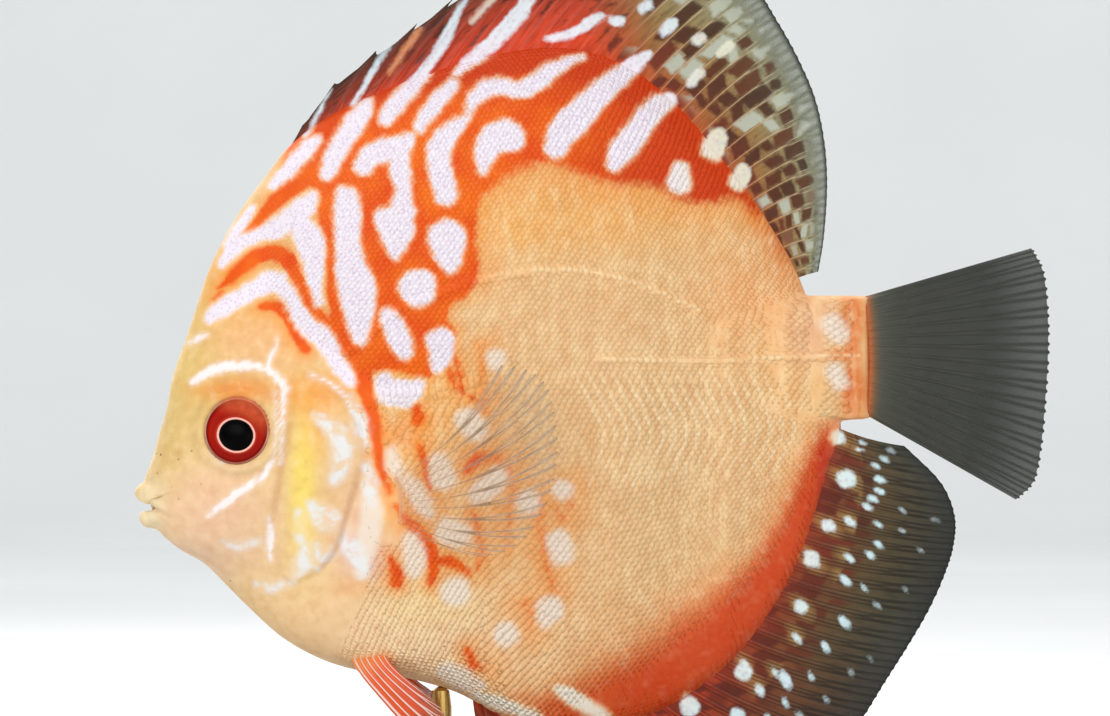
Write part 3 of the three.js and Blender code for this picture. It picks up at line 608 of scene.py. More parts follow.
# Markings of the skin
# Lavender-white bars and spots on an orange-red net, over a cream head and a peach flank.
# Each is a brush stroke of (x, y, half width) in pixels of the camera's view, and both flanks carry the same.
PALE_STROKES = [
    [(273, 184, 5), (286, 172, 7), (297, 160, 7), (307, 149, 7), (317, 140, 4)],
    [(306, 137, 2), (316, 116, 2), (330, 90, 1.5)],
    [(327, 173, 8), (334, 155, 10), (343, 140, 10), (353, 125, 10), (363, 111, 8), (368, 102, 4)],
    [(354, 104, 3), (368, 80, 3), (380, 60, 3), (393, 43, 2)],
    [(386, 118, 7), (395, 105, 8), (412, 86, 7), (426, 68, 6), (438, 51, 6), (448, 34, 6), (456, 16, 4),
     (468, -4, 3), (480, -24, 3)],
    [(419, 126, 6), (429, 112, 8), (442, 96, 8), (453, 85, 6)],
    [(456, 73, 3), (470, 61, 6), (489, 46, 8), (507, 28, 9), (520, 13, 9), (532, -6, 7), (546, -26, 5)],
    [(362, 166, 8), (372, 155, 10), (388, 149, 10), (404, 143, 8), (412, 137, 3)],
    [(398, 152, 11), (400, 172, 10), (403, 190, 7), (401, 204, 9)],
    [(383, 218, 8), (394, 224, 17), (396, 234, 16), (394, 247, 9), (395, 256, 4)],
    [(406, 211, 8), (399, 222, 14)],
    [(466, 117, 3), (453, 128, 8), (441, 143, 11), (438, 158, 11), (441, 176, 12), (446, 194, 11)],
    [(467, 111, 3), (474, 98, 6), (488, 88, 8), (504, 86, 7), (520, 90, 8), (536, 82, 9), (550, 71, 8),
     (566, 62, 5), (582, 57, 3)],
    [(482, 170, 4), (484, 157, 8), (490, 142, 12), (503, 136, 15), (512, 138, 12)],
    [(223, 262, 5), (232, 251, 7), (244, 241, 7), (260, 235, 6), (274, 229, 9), (290, 219, 11),
     (303, 208, 11), (312, 198, 6)],
    [(299, 222, 11), (308, 238, 14), (312, 258, 11), (314, 280, 8), (319, 303, 4)],
    [(228, 246, 5), (238, 230, 6), (252, 208, 4)],
    [(209, 319, 5), (221, 309, 8), (236, 300, 8), (252, 291, 9), (268, 282, 10), (280, 279, 7)],
    [(276, 281, 9), (288, 294, 8), (295, 310, 8), (306, 323, 9), (319, 336, 10), (330, 352, 9),
     (342, 368, 8), (350, 384, 5)],
    [(346, 196, 10), (347, 212, 13), (347, 232, 13), (348, 252, 13), (351, 272, 15), (357, 290, 18),
     (358, 308, 16), (359, 326, 11), (360, 338, 6)],
    [(447, 240, 19), (449, 256, 13), (451, 268, 6)],
    [(417, 288, 18)],
    [(387, 316, 7), (394, 328, 11), (400, 342, 11), (405, 353, 7)],
    [(440, 343, 14), (440, 356, 11), (437, 368, 5)],
    [(384, 382, 9), (390, 392, 13), (401, 394, 15), (411, 391, 11), (418, 384, 6)],
    [(555, 148, 10), (562, 133, 14), (576, 118, 15), (590, 103, 13), (603, 90, 12), (619, 77, 10),
     (634, 65, 8), (648, 55, 4)],
    [(614, 163, 8), (622, 150, 13), (632, 138, 13), (643, 122, 12), (655, 108, 11), (668, 101, 8)],
    [(680, 171, 9), (679, 181, 12)],
    [(718, 138, 10), (714, 148, 12)],
    [(743, 172, 8), (739, 181, 9)],
    [(690, 84, 5), (699, 74, 6)],
    [(546, 38, 3), (560, 37, 5), (578, 31, 5), (591, 22, 6), (601, 16, 4)],
    [(612, 21, 5), (622, 22, 4)],
    [(642, 10, 4), (648, 6, 6)],
    [(663, 33, 5), (671, 24, 7)],
    [(697, 41, 5), (701, 37, 5)],
    [(720, 53, 5), (730, 46, 6)],
    [(475, 694, 4), (492, 702, 6), (512, 707, 6), (532, 716, 5), (540, 724, 3)],
    [(556, 688, 4), (566, 694, 7), (580, 703, 7), (598, 712, 6), (612, 722, 3)],
    [(690, 706, 10)],
    [(743, 671, 9)],
    [(738, 716, 8)],
    [(846, 479, 9)],
    [(838, 437, 7)],
    [(827, 526, 6)],
    [(811, 559, 8)],
    [(801, 607, 7)],
]
FAINT_STROKES = [
    [(466, 420, 12), (474, 429, 12)],
    [(439, 464, 11), (443, 478, 12)],
    [(404, 480, 5), (414, 490, 9), (422, 503, 9), (428, 514, 5)],
    [(391, 452, 5), (394, 466, 7), (398, 476, 4)],
    [(477, 494, 9), (488, 487, 11), (499, 476, 8)],
    [(527, 502, 12)],
    [(447, 531, 13), (458, 534, 13)],
    [(411, 540, 7), (414, 556, 11), (413, 570, 9)],
    [(557, 542, 12), (561, 552, 12)],
    [(549, 610, 13), (544, 619, 8)],
    [(506, 634, 12)],
    [(562, 490, 9)],
    [(495, 360, 10)],
    [(832, 324, 9), (838, 334, 9)],
    [(834, 372, 9), (840, 382, 8)],
    [(455, 592, 15)],
    [(445, 672, 8), (460, 678, 10), (478, 686, 7)],
    [(368, 490, 6), (372, 514, 10), (366, 545, 10), (360, 572, 6)],
]
NET_AREA = [
    (282, 160), (300, 130), (340, 104), (380, 86), (432, 64), (480, 50), (530, 38), (590, 36), (640, 52),
    (692, 100),
    (738, 160), (764, 208), (752, 216), (734, 204), (706, 208), (676, 202), (648, 190), (618, 188), (588, 182),
    (560, 170), (540, 168), (514, 178), (494, 192), (480, 204), (477, 240), (480, 268), (470, 292), (452, 304),
    (446, 318), (456, 332), (452, 356), (436, 372), (422, 378), (404, 372), (388, 372), (372, 372), (360, 372),
    (348, 358), (338, 350), (326, 330), (330, 300), (324, 262), (322, 220), (318, 196), (300, 188), (276, 200),
]
RED_STROKES = [
    [(272, 206, 4), (260, 222, 6), (248, 233, 5)],
    [(300, 182, 10), (282, 196, 9), (266, 212, 7)],
    [(220, 288, 3), (232, 277, 6), (246, 264, 8), (262, 254, 9), (278, 254, 9), (290, 264, 9),
     (298, 280, 8), (306, 298, 8), (318, 316, 8), (332, 332, 9), (344, 350, 9)],
    [(262, 306, 4), (276, 306, 7), (288, 318, 7), (298, 334, 7), (306, 350, 5)],
    [(214, 300, 2), (222, 294, 3)],
    [(322, 210, 6), (328, 240, 7), (332, 270, 7), (334, 300, 7), (342, 330, 7), (350, 346, 7)],
    [(377, 330, 8), (375, 346, 10), (360, 358, 13), (359, 374, 13), (367, 392, 9), (373, 412, 7),
     (376, 440, 6), (381, 466, 5), (389, 491, 3)],
    [(412, 326, 6), (419, 345, 6), (426, 374, 5)],
    [(416, 408, 5), (418, 418, 8)],
    [(419, 448, 4), (425, 470, 4), (429, 490, 2.5)],
    [(455, 352, 2), (458, 372, 3.5), (461, 393, 2.5)],
    [(447, 362, 2), (451, 376, 3), (455, 390, 2)],
    [(479, 346, 1), (481, 372, 1.5), (484, 412, 1.5)],
    [(469, 396, 2.5), (478, 402, 3.5), (485, 408, 2.5)],
    [(466, 472, 4), (471, 463, 7), (482, 457, 8), (495, 457, 7), (501, 460, 4)],
    [(505, 463, 2.5), (511, 480, 3.5), (509, 510, 3), (506, 543, 1.5)],
    [(540, 494, 1.5), (541, 514, 2)],
    [(537, 513, 2), (541, 534, 4), (543, 552, 4.5), (548, 574, 4), (553, 592, 2.5)],
    [(554, 509, 2.5), (562, 518, 3)],
    [(569, 489, 1.5), (568, 515, 1.5)],
    [(395, 504, 3), (403, 515, 4), (412, 526, 6), (423, 536, 7), (430, 550, 7), (434, 567, 7), (431, 583, 4)],
    [(437, 562, 4), (451, 562, 6), (461, 568, 5), (468, 573, 2.5)],
    [(474, 514, 2), (480, 550, 3), (477, 568, 2.5)],
    [(391, 559, 3.5), (395, 571, 7), (395, 583, 7)],
    [(466, 650, 5), (472, 664, 6), (484, 668, 3)],
    [(530, 602, 2), (531, 628, 2)],
    [(524, 603, 3), (529, 610, 3)],
    [(364, 670, 4), (384, 664, 3)],
]
LINE_STROKES = HEAD_CANALS + [
    [(269, 518, 1.5), (270, 536, 4), (271, 560, 1.5)],
    [(274, 392, 0.5), (276, 430, 1), (274, 462, 0.5)],
    [(308, 374, 1), (326, 380, 2), (341, 393, 2), (351, 410, 1)],
    [(188, 343, 1), (198, 338, 2.5), (208, 333, 1)],
]
FROST_STROKES = [
    [(226, 543, 2), (240, 545, 4), (258, 541, 3)],
    [(258, 583, 3), (272, 587, 5), (292, 581, 4)],
    [(318, 418, 5), (334, 430, 10), (342, 448, 11), (340, 468, 8), (334, 480, 5)],
    [(312, 506, 7), (322, 518, 13), (334, 520, 8)],
    [(311, 552, 12), (302, 564, 9), (296, 572, 6)],
    [(352, 400, 4), (361, 424, 8), (364, 444, 6)],
    [(366, 466, 6), (371, 488, 8), (374, 502, 5)],
    [(345, 528, 6), (352, 550, 10), (362, 568, 8)],
    [(300, 512, 4), (301, 540, 5)],
    [(318, 566, 5), (332, 552, 5)],
    [(214, 452, 2), (222, 462, 2)],
]
GLINT_STROKES = [[(x, y, 0.2) for x, y, _ in line] for line in LATERAL_LINE] + [
    [(574 + 12.5 * k, 372, 0.2), (584 + 12.5 * k, 392, 0.8), (602 + 12 * k, 428, 0.8),
     (600 + 11.5 * k, 452, 0.6), (588 + 11 * k, 486, 0.2)]
    for k in range(17)
]
# Painted shade: strokes along the cheek crease, the gill cover's edge and the mouth's line, where the skin is
# darkened towards brown
CREASE_SHADE_STROKES = [
    [(291, 424, 2), (285, 450, 2.5), (280, 475, 2.5), (276, 500, 2.5), (272, 520, 1.5)],
    [(262, 470, 1), (255, 484, 1)],
    [(358, 470, 2), (352, 495, 2.5), (345, 520, 2), (337, 546, 2), (322, 567, 1.5)],
    [(152, 508, 1.4), (161, 511, 1.4), (168, 516, 0.8)],
]
# The washes under the markings, as (x, y, half width, half height, colour, strength)
GROUND = [
    (220, 430, 120, 210, (229, 196, 140), 1.0),
    (212, 320, 60, 90, (226, 184, 108), 0.9),
    (196, 380, 34, 60, (226, 196, 118), 0.7),
    (160, 440, 34, 60, (212, 182, 112), 0.8),
    (215, 510, 64, 46, (236, 192, 160), 0.85),
    (195, 560, 70, 32, (226, 190, 162), 0.7),
    (150, 507, 18, 30, (234, 218, 178), 0.9),
    (238, 390, 42, 13, (234, 146, 66), 0.95),
    (225, 275, 24, 20, (240, 170, 90), 0.6),
    (252, 328, 36, 18, (240, 168, 92), 0.7),
    (286, 340, 20, 30, (242, 176, 104), 0.7),
    (250, 345, 46, 30, (238, 186, 136), 0.7),
    (312, 396, 34, 24, (240, 158, 74), 0.9),
    (312, 440, 14, 22, (240, 168, 70), 0.6),
    (303, 495, 15, 76, (246, 220, 104), 0.9),
    (340, 520, 22, 60, (234, 190, 136), 0.7),
    (330, 612, 90, 44, (240, 200, 146), 0.8),
    (375, 530, 34, 70, (230, 192, 176), 0.8),
    (430, 640, 120, 46, (244, 208, 168), 0.8),
    (470, 520, 100, 90, (246, 200, 144), 0.55),
    (430, 430, 60, 80, (246, 184, 110), 0.6),
    (406, 434, 24, 18, (240, 142, 70), 0.8),
    (412, 362, 26, 14, (245, 140, 50), 0.8),
    (386, 520, 14, 28, (246, 200, 138), 0.9),
    (365, 552, 26, 26, (226, 178, 168), 0.8),
    (356, 588, 22, 10, (232, 168, 112), 0.7),
    (450, 505, 62, 62, (243, 158, 84), 0.62),
    (440, 400, 46, 40, (243, 170, 92), 0.6),
    (545, 560, 20, 46, (242, 184, 110), 0.5),
    (430, 600, 70, 30, (246, 212, 150), 0.6),
    (520, 215, 60, 40, (244, 182, 104), 0.8),
    (600, 215, 100, 36, (242, 178, 104), 0.8),
    (560, 330, 110, 60, (236, 192, 142), 0.7),
    (640, 460, 130, 130, (226, 190, 142), 0.8),
    (760, 300, 60, 60, (240, 174, 118), 0.8),
    (800, 370, 50, 60, (240, 190, 130), 0.7),
    (760, 460, 50, 60, (236, 186, 134), 0.5),
    (812, 330, 30, 34, (230, 178, 146), 0.7),
    (852, 316, 13, 22, (216, 106, 44), 0.95),
    (854, 394, 14, 26, (212, 100, 40), 0.95),
    (852, 356, 9, 60, (220, 112, 48), 0.9),
    (842, 355, 16, 7, (226, 120, 56), 0.85),
    (545, 600, 70, 60, (240, 198, 150), 0.6),
]


def wander(px, py, size, seed):
    """A small smooth shift."""
    a, b = seed * 1.7, seed * 2.9
    long, short = np.sin(px * 0.11 + py * 0.07 + a), np.sin(py * 0.23 - px * 0.17 + b)
    return size * (long + 0.6 * short + 0.4 * np.sin(px * 0.47 + py * 0.41 + a * b)) / 2


def wavered(px, py, size, seed):
    """Places shifted a little, so that the edges of markings waver as on a living skin."""
    return px + wander(px, py, size, seed), py + wander(py, px, size, seed + 1)


def toward(colour, wash, share):
    """Rows of colour moved towards a wash by a share for each row."""
    return colour + (np.asarray(wash, float) - colour) * share[:, None]


def inward_of(x, z):
    """How far inside the body's outline each place is, in millimetres."""
    return rim_radius(angle_of(x, z)) - np.hypot(x, z)


def belly_red(x, z):
    """The red beside the anal fin's root: its soft reach, its full part and the very root."""
    angle, inward = angle_of(x, z), inward_of(x, z)
    below = smoothstep(angle, 266, 284) * (1 - smoothstep(angle, 346, 354))
    wide = np.interp(angle, [266, 290, 305, 325, 345], [9, 23, 25, 15, 9])
    return (
        below * (1 - smoothstep(inward, 1.5, wide)),
        below * (1 - smoothstep(inward, 0.28 * wide, 0.68 * wide)),
        below * (1 - smoothstep(inward, 0.5, 3.0)),
    )


def ground_colours(px, py, x, z):
    """The soft colour under the markings, from broad overlapping washes."""
    colour = np.tile(np.array([232, 190, 136], float), (len(px), 1))
    for cx, cy, rx, ry, wash, strength in GROUND:
        cover = np.exp(-(((px - cx) / rx) ** 2 + ((py - cy) / ry) ** 2) ** 1.3)
        colour = toward(colour, wash, strength * cover)
    soft, full, root = belly_red(x, z)
    colour = toward(colour, (234, 126, 72), 0.9 * soft)
    colour = toward(colour, (198, 52, 18), full)
    colour = toward(colour, (172, 44, 14), 0.8 * root)
    angle = angle_of(x, z)
    above = smoothstep(angle, 14, 26) * (1 - smoothstep(angle, 60, 75))
    return toward(colour, (222, 110, 52), 0.8 * above * (1 - smoothstep(inward_of(x, z), 0.5, 5)))


def to_linear(colours):
    c = np.clip(colours / 255, 0, 1)
    return np.where(c > 0.04045, ((c + 0.055) / 1.055) ** 2.4, c / 12.92)


def add_values(piece, name, values):
    piece.data.attributes.new(name, "FLOAT", "POINT").data.foreach_set("value", np.asarray(values, np.float32))


def add_colours(piece, name, colours):
    rows = np.ones((len(colours), 4), np.float32)
    rows[:, :3] = to_linear(colours)
    piece.data.attributes.new(name, "FLOAT_COLOR", "POINT").data.foreach_set("color", rows.ravel())


def mark(piece, points):
    """Puts the markings at the given points, in millimetres about the disc's centre, on a piece's vertices."""
    x, z = points[:, 0], points[:, 2]
    px, py = as_pixels(x, points[:, 1], z)
    wx, wy = wavered(px, py, 1.6, 1)
    pale = stroke_depth(wx, wy, PALE_STROKES)
    net = np.maximum(area_depth(wx, wy, NET_AREA), stroke_depth(wx, wy, RED_STROKES))
    soft = smoothstep(px, 450, 500) * smoothstep(py, 120, 165) * (1 - smoothstep(px, 815, 830))
    net = net * (1 - 0.66 * soft) - soft
    small = smoothstep(py, 390, 440) * smoothstep(px, 370, 390) * (1 - smoothstep(px, 600, 640))
    net = net * (1 - 0.12 * small)
    add_colours(piece, "ground", ground_colours(px, py, x, z))
    add_values(piece, "pale", pale)
    add_values(piece, "faint", stroke_depth(wx, wy, FAINT_STROKES))
    add_values(piece, "net", np.clip(net, -30, 30))
    add_values(piece, "line", stroke_depth(wx, wy, LINE_STROKES))
    add_values(piece, "frost", stroke_depth(wx, wy, FROST_STROKES))
    # The depth of the painted shade in the head's creases
    add_values(piece, "crease", stroke_depth(px, py, CREASE_SHADE_STROKES))
    add_values(piece, "glint", stroke_depth(px, py, GLINT_STROKES, 8))
    rim_red = 0.7 * (1 - smoothstep(inward_of(x, z), 0, 7)) * smoothstep(px, 270, 330)
    add_values(piece, "redness", np.clip(smoothstep(px, 520, 680) + smoothstep(py, 120, 50) + rim_red, 0, 1))
    soft_red, full_red, _ = belly_red(x, z)
    add_values(piece, "scaled", smoothstep(px, 335, 420) * (1 - soft_red))
    add_values(piece, "calm", full_red)
    creamy = smoothstep(px, 640, 720) + smoothstep(py, 380, 450) * (1 - smoothstep(px, 640, 660))
    add_values(piece, "creamy", creamy)


def blended(tree, factor, under, over):
    """One colour over another. The upper one is a socket or a plain colour."""
    if isinstance(over, tuple):
        over = (*over, 1)
    made = shader_node(tree, "ShaderNodeMix", data_type="RGBA")
    for name, value in (("Factor", factor), ("A", under), ("B", over)):
        if isinstance(value, tuple):
            made.inputs[name].default_value = value
        else:
            tree.links.new(value, made.inputs[name])
    return made.outputs["Result"]


def attribute(tree, name, output="Fac"):
    return shader_node(tree, "ShaderNodeAttribute", attribute_name=name).outputs[output]


def product(tree, one, other):
    made = shader_node(tree, "ShaderNodeMath", operation="MULTIPLY", Value=one)
    tree.links.new(other, made.inputs[1])
    return made.outputs[0]


def spread(tree, source, low, high, most=1.0, least=0.0, kind="LINEAR"):
    """A pattern's values from low to high, spread from least to most."""
    return shader_node(
        tree, "ShaderNodeMapRange", interpolation_type=kind, Value=source, From_Min=low, From_Max=high,
        To_Min=least, To_Max=most,
    ).outputs["Result"]


def edge_factor(tree, name, low, high, waver=None, strength=1.0):
    """How much of a marking shows, from its depth attribute, with a wavering soft edge."""
    source = attribute(tree, name)
    if waver is not None:
        added = shader_node(tree, "ShaderNodeMath", operation="ADD", Value=source)
        tree.links.new(waver, added.inputs[1])
        source = added.outputs[0]
    return spread(tree, source, low, high, strength, kind="SMOOTHSTEP")


def dots(tree, place, scale):
    return shader_node(tree, "ShaderNodeTexVoronoi", Vector=place, Scale=scale).outputs["Distance"]


def skin_paint(name, roughness, coat, bumpy):
    """The fish's painted skin, shared by the skin itself and the scales, from the marking attributes."""
    material, tree, shader = paint(name, roughness, coat)
    shader.inputs["Specular IOR Level"].default_value = 0.12
    place = object_place(tree)
    fine, broad = noise(tree, place, 900.0, 3.0), noise(tree, place, 160.0, 4.0)
    medium = noise(tree, place, 430.0, 5.0)
    waver = spread(tree, fine, 0.0, 1.0, 2.6, -2.6)

    # The ground: its washes with mottling, grain, pale streaks between the scales and glints along the rows
    ground = attribute(tree, "ground", "Color")
    colour = blended(tree, spread(tree, broad, 0.3, 0.7, 0.16), ground, linear(216, 160, 104))
    for low, high, tint in ((0.5, 0.75, linear(206, 148, 96)), (0.5, 0.25, linear(252, 226, 180))):
        colour = blended(tree, spread(tree, medium, low, high, 0.3), colour, tint)
    drawn_out = shader_node(
        tree, "ShaderNodeMapping", Vector=place, Scale=(1.0, 0.6, 0.3), Rotation=(0.0, 0.35, 0.0)
    ).outputs["Vector"]
    streak = spread(tree, noise(tree, drawn_out, 520.0, 3.0), 0.48, 0.72, 0.45)
    colour = blended(tree, product(tree, streak, attribute(tree, "scaled")), colour, linear(250, 222, 170))
    colour = blended(tree, edge_factor(tree, "glint", -2.2, 0.6, waver, 0.5), colour, linear(253, 232, 190))
    colour = blended(tree, edge_factor(tree, "calm", 0.0, 1.0, None, 0.72), colour, ground)

    # The net, with an orange glow round it, and the pale patches with their own soft glow
    reds = colour_ramp(tree, broad, [(0.3, linear(226, 70, 5)), (0.72, linear(240, 108, 14))])
    deep = blended(tree, attribute(tree, "redness"), reds, linear(204, 54, 8))
    colour = blended(tree, edge_factor(tree, "net", -15, 1, waver, 0.55), colour, linear(240, 142, 46))
    colour = blended(tree, edge_factor(tree, "net", -2.5, 3.5, waver, 0.96), colour, deep)
    colour = blended(tree, edge_factor(tree, "faint", -6, 5, waver, 0.85), colour, linear(238, 222, 204))
    colour = blended(tree, edge_factor(tree, "pale", -6.0, 1.0, waver, 0.62), colour, linear(248, 204, 150))
    grains = dots(tree, place, 1500.0)
    lavender = colour_ramp(tree, grains, [(0.15, linear(222, 204, 220)), (0.5, linear(238, 228, 236))])
    patch = blended(tree, attribute(tree, "creamy"), lavender, linear(238, 226, 206))
    colour = blended(tree, edge_factor(tree, "pale", -3.0, 3.6, waver), colour, patch)

    # The head: white lines, frosted patches, painted shade in the creases and dark flecks
    colour = blended(tree, edge_factor(tree, "line", -5.0, 3.0, waver, 0.6), colour, linear(240, 222, 214))
    colour = blended(tree, edge_factor(tree, "line", -1.5, 3.0, waver, 0.8), colour, linear(248, 242, 242))
    frost = spread(tree, medium, 0.36, 0.6, 1.0, 0.25, "SMOOTHSTEP")
    frost = product(tree, frost, edge_factor(tree, "frost", -6.0, 6.0, waver, 0.95))
    colour = blended(tree, frost, colour, linear(232, 230, 228))
    # Painted shade: the creases are darkened towards brown
    colour = blended(tree, edge_factor(tree, "crease", -3.5, 2.0, None, 0.3), colour, linear(196, 130, 76))
    flecks = spread(tree, dots(tree, place, 420.0), 0.13, 0.05, kind="SMOOTHSTEP")
    flecks = product(tree, flecks, edge_factor(tree, "fleck", 0.0, 1.0))
    colour = blended(tree, flecks, colour, linear(96, 80, 56))
    tree.links.new(colour, shader.inputs["Base Color"])
    raise_grain(tree, shader, fine, bumpy)
    return material


mark(skin, skin_points)
px, py = as_pixels(*skin_points.T)
fleck = ridge(np.hypot((px - 165) / 40, (py - 460) / 45), 1)
fleck += 0.8 * ridge(np.hypot((px - 240) / 50, (py - 580) / 26), 1)
add_values(skin, "fleck", np.clip(fleck, 0, 1) * 0.9)
skin.data.materials.append(skin_paint("painted_skin", 0.42, 0.06, 0.3))
ride_root(
    skin, "skin", "head", "trunk", "tail_stalk", "upper_lip", "lower_lip", "gill_cover_left", "gill_cover_right"
)


# Scales
# Thousands of thin overlapping scales on both flanks, each a small domed plate with its root under the skin.
# They lie in rows that run from the head to the tail, and shrink towards the nape and the fins.
random = np.random.default_rng(7)
SCALE_ROWS, SCALE_COLUMNS = 150, 104
SCALE_THICK = 0.055
# Each scale's patch of the unwrap, for one pitch
PATCH_SIZE = 0.0013
# Where on the flank's grid the rows run, and between which pixels, behind the gill cover
ROW_FROM, ROW_TO, ROW_TOP = -0.97, 0.985, 0.985
LAST_SCALE, GILL_GAP = 846, 6
SCALED_FROM = ([120, 200, 300, 345, 380, 440, 520, 590, 640], [262, 238, 250, 300, 352, 368, 362, 345, 330])
# One scale, in pitches along and up and a lift in millimetres: its front, side, round free edge, side, and crown
SCALE_SHAPE = np.array([
    (-0.38, -0.55, -0.026), (0.22, -1.02, -0.005), (0.66, -0.76, 0.007), (0.86, -0.27, 0.012),
    (0.86, 0.27, 0.012), (0.66, 0.76, 0.007), (0.22, 1.02, -0.005), (-0.38, 0.55, -0.026), (0.34, 0.0, 0.012),
])


def scale_places():
    """The roots of one flank's scales on the grid, and how many pixels each is from the end of the rows."""
    places = []
    for i, across in enumerate(np.linspace(-ROW_TOP, ROW_TOP, SCALE_ROWS)):
        along = np.linspace(ROW_FROM, ROW_TO, SCALE_COLUMNS) + i % 2 * 0.5 * (ROW_TO - ROW_FROM) / SCALE_COLUMNS
        places.append(np.column_stack([along, np.full_like(along, across)]))
    places = np.concatenate(places)
    places[:, 0] += random.normal(0, 0.0012, len(places))
    places[:, 1] += random.normal(0, 0.0008, len(places))
    places = places[np.abs(places[:, 0]) < 0.99]
    x, z = side_place(places[:, 0], places[:, 1])
    px, py = as_pixels(x, bare_half(x, z), z)
    front = np.interp(py, *SCALED_FROM)
    inward = inward_of(x, z)
    keep = (px > front) & (px < LAST_SCALE) & (inward > 0.7 + 2.2 * smoothstep(px, 790, 815))
    keep &= area_depth(px, py, GILL_EDGE) < -GILL_GAP
    # Scales lie low over the red of the belly, and the fleshy lobe of the pectoral fin has none
    red = 50 * (1 - belly_red(x, z)[1]) + 8
    lobe = np.hypot((px - FIN_LOBE[0]) / 15, (py - FIN_LOBE[1]) / 26) - 1.1
    keep &= lobe > 0
    return places[keep], np.minimum.reduce([px - front, 6 * inward, red, 40 * lobe])[keep]


def length_of(rows):
    """The length of each row's arrow."""
    return np.linalg.norm(rows, axis=1)


def plate_mesh(name, places, ease, side):
    """Joins one flank's scales into a mesh, with the unwrap that its colours are baked on."""
    step = 4e-3
    along, across = places.T
    centre = flank_point(along, across)
    ahead = bare_point(along + step, across) - bare_point(along - step, across)
    upward = bare_point(along, across + step) - bare_point(along, across - step)
    normal = np.cross(ahead, upward)
    long = length_of(ahead) / (2 * step) * (ROW_TO - ROW_FROM) / SCALE_COLUMNS
    tall = length_of(normal) / length_of(ahead) / (2 * step) * 2 * ROW_TOP / SCALE_ROWS
    ahead /= length_of(ahead)[:, None]
    normal /= length_of(normal)[:, None]
    upward = np.cross(normal, ahead)
    n, k = len(places), len(SCALE_SHAPE) - 1
    tilt = random.normal(1.0, 0.25, n)
    gentle = 1 - 0.5 * np.maximum(smoothstep(centre[:, 2], -14, -34), smoothstep(ease, 90, 20))
    sunk = 0.016 * (1 - smoothstep(ease, 0, 30))
    swell = random.uniform(0.95, 1.07, n) * (0.8 + 0.2 * np.clip(ease / 30, 0, 1))
    top = np.zeros((n, k + 1, 3))
    for j, (a, u, lift) in enumerate(SCALE_SHAPE):
        top[:, j] = (
            centre
            + ahead * (a * long * swell)[:, None]
            + upward * (u * tall * swell)[:, None]
            + normal * (lift * gentle * np.where(lift > 0, tilt, 1) - sunk)[:, None]
        )
    under = top[:, :k] - normal[:, None, :] * SCALE_THICK
    points = np.concatenate([top, under], axis=1)
    points[..., 1] *= side
    points = points.reshape(-1, 3)
    count = 2 * k + 1
    crown = [(k, j, (j + 1) % k) for j in range(k)]
    walls = [(j, k + 1 + j, k + 1 + (j + 1) % k, (j + 1) % k) for j in range(k)]
    floor = tuple(k + 1 + j for j in reversed(range(k)))
    faces = crown + walls + [floor]
    if side < 0:
        faces = [tuple(reversed(f)) for f in faces]
    corners = np.concatenate([np.array(f) for f in faces])
    sizes = np.array([len(f) for f in faces])
    mesh = bpy.data.meshes.new(name)
    mesh.vertices.add(n * count)
    mesh.loops.add(n * len(corners))
    mesh.polygons.add(n * len(faces))
    mesh.vertices.foreach_set("co", in_place(points).astype(np.float32).ravel())
    each = np.arange(n)[:, None]
    starts = np.concatenate([[0], np.cumsum(sizes)[:-1]]) + each * len(corners)
    mesh.polygons.foreach_set("loop_start", starts.ravel().astype(np.int32))
    mesh.loops.foreach_set("vertex_index", (corners + each * count).ravel().astype(np.int32))
    mesh.update(calc_edges=True)
    mesh.validate()
    piece = new_piece(name, mesh)
    # Each scale's colour is read a little towards its root, so that the edges of the markings step with the scales
    roots = np.repeat(centre * [1, side, 1], count, axis=0)
    mark(piece, points * 0.75 + roots * 0.25)
    add_values(piece, "fleck", np.zeros(len(points)))
    # How near each vertex is to its scale's edge. The finish lightens there, partly for the paler edges of real
    # scales and partly as painted light.
    rim = np.tile(np.concatenate([np.abs(SCALE_SHAPE[:, 0] - 0.3) / 0.8, np.ones(k)]), n)
    add_values(piece, "rim", np.clip(rim, 0, 1))
    patch = np.concatenate([SCALE_SHAPE[:, :2], SCALE_SHAPE[:k, :2]])[corners] * PATCH_SIZE
    rows = (0.5 + 0.48 * places[:, None, :] + patch).reshape(-1, 2)
    mesh.uv_layers.new(name="OFBake").data.foreach_set("uv", rows.astype(np.float32).ravel())
    mesh.polygons.foreach_set("use_smooth", np.tile([True] * k + [False] * (k + 1), n))
    return piece


scale_roots, scale_ease = scale_places()
scale_finish = skin_paint("painted_scales", 0.45, 0.04, 0.12)
tree = scale_finish.node_tree
base = tree.nodes["Principled BSDF"].inputs["Base Color"]
# The scales' edges and walls are lightened: partly the paler edges of real scales, partly painted light that evens
# out the shade of the little walls.
pale_edge_and_painted_light = edge_factor(tree, "rim", 0.7, 1.0, None, 0.45)
tree.links.new(blended(tree, pale_edge_and_painted_light, base.links[0].from_socket, linear(252, 226, 190)), base)
SIDES = ((1, "left"), (-1, "right"))
upper = scale_roots[:, 1] > 0
for side, word in SIDES:
    for part, chosen in (("upper", upper), ("lower", ~upper)):
        coat = plate_mesh(f"scales_{word}_{part}", scale_roots[chosen], scale_ease[chosen], side)
        coat.data.materials.append(scale_finish)
        ride_root(coat, "skin")


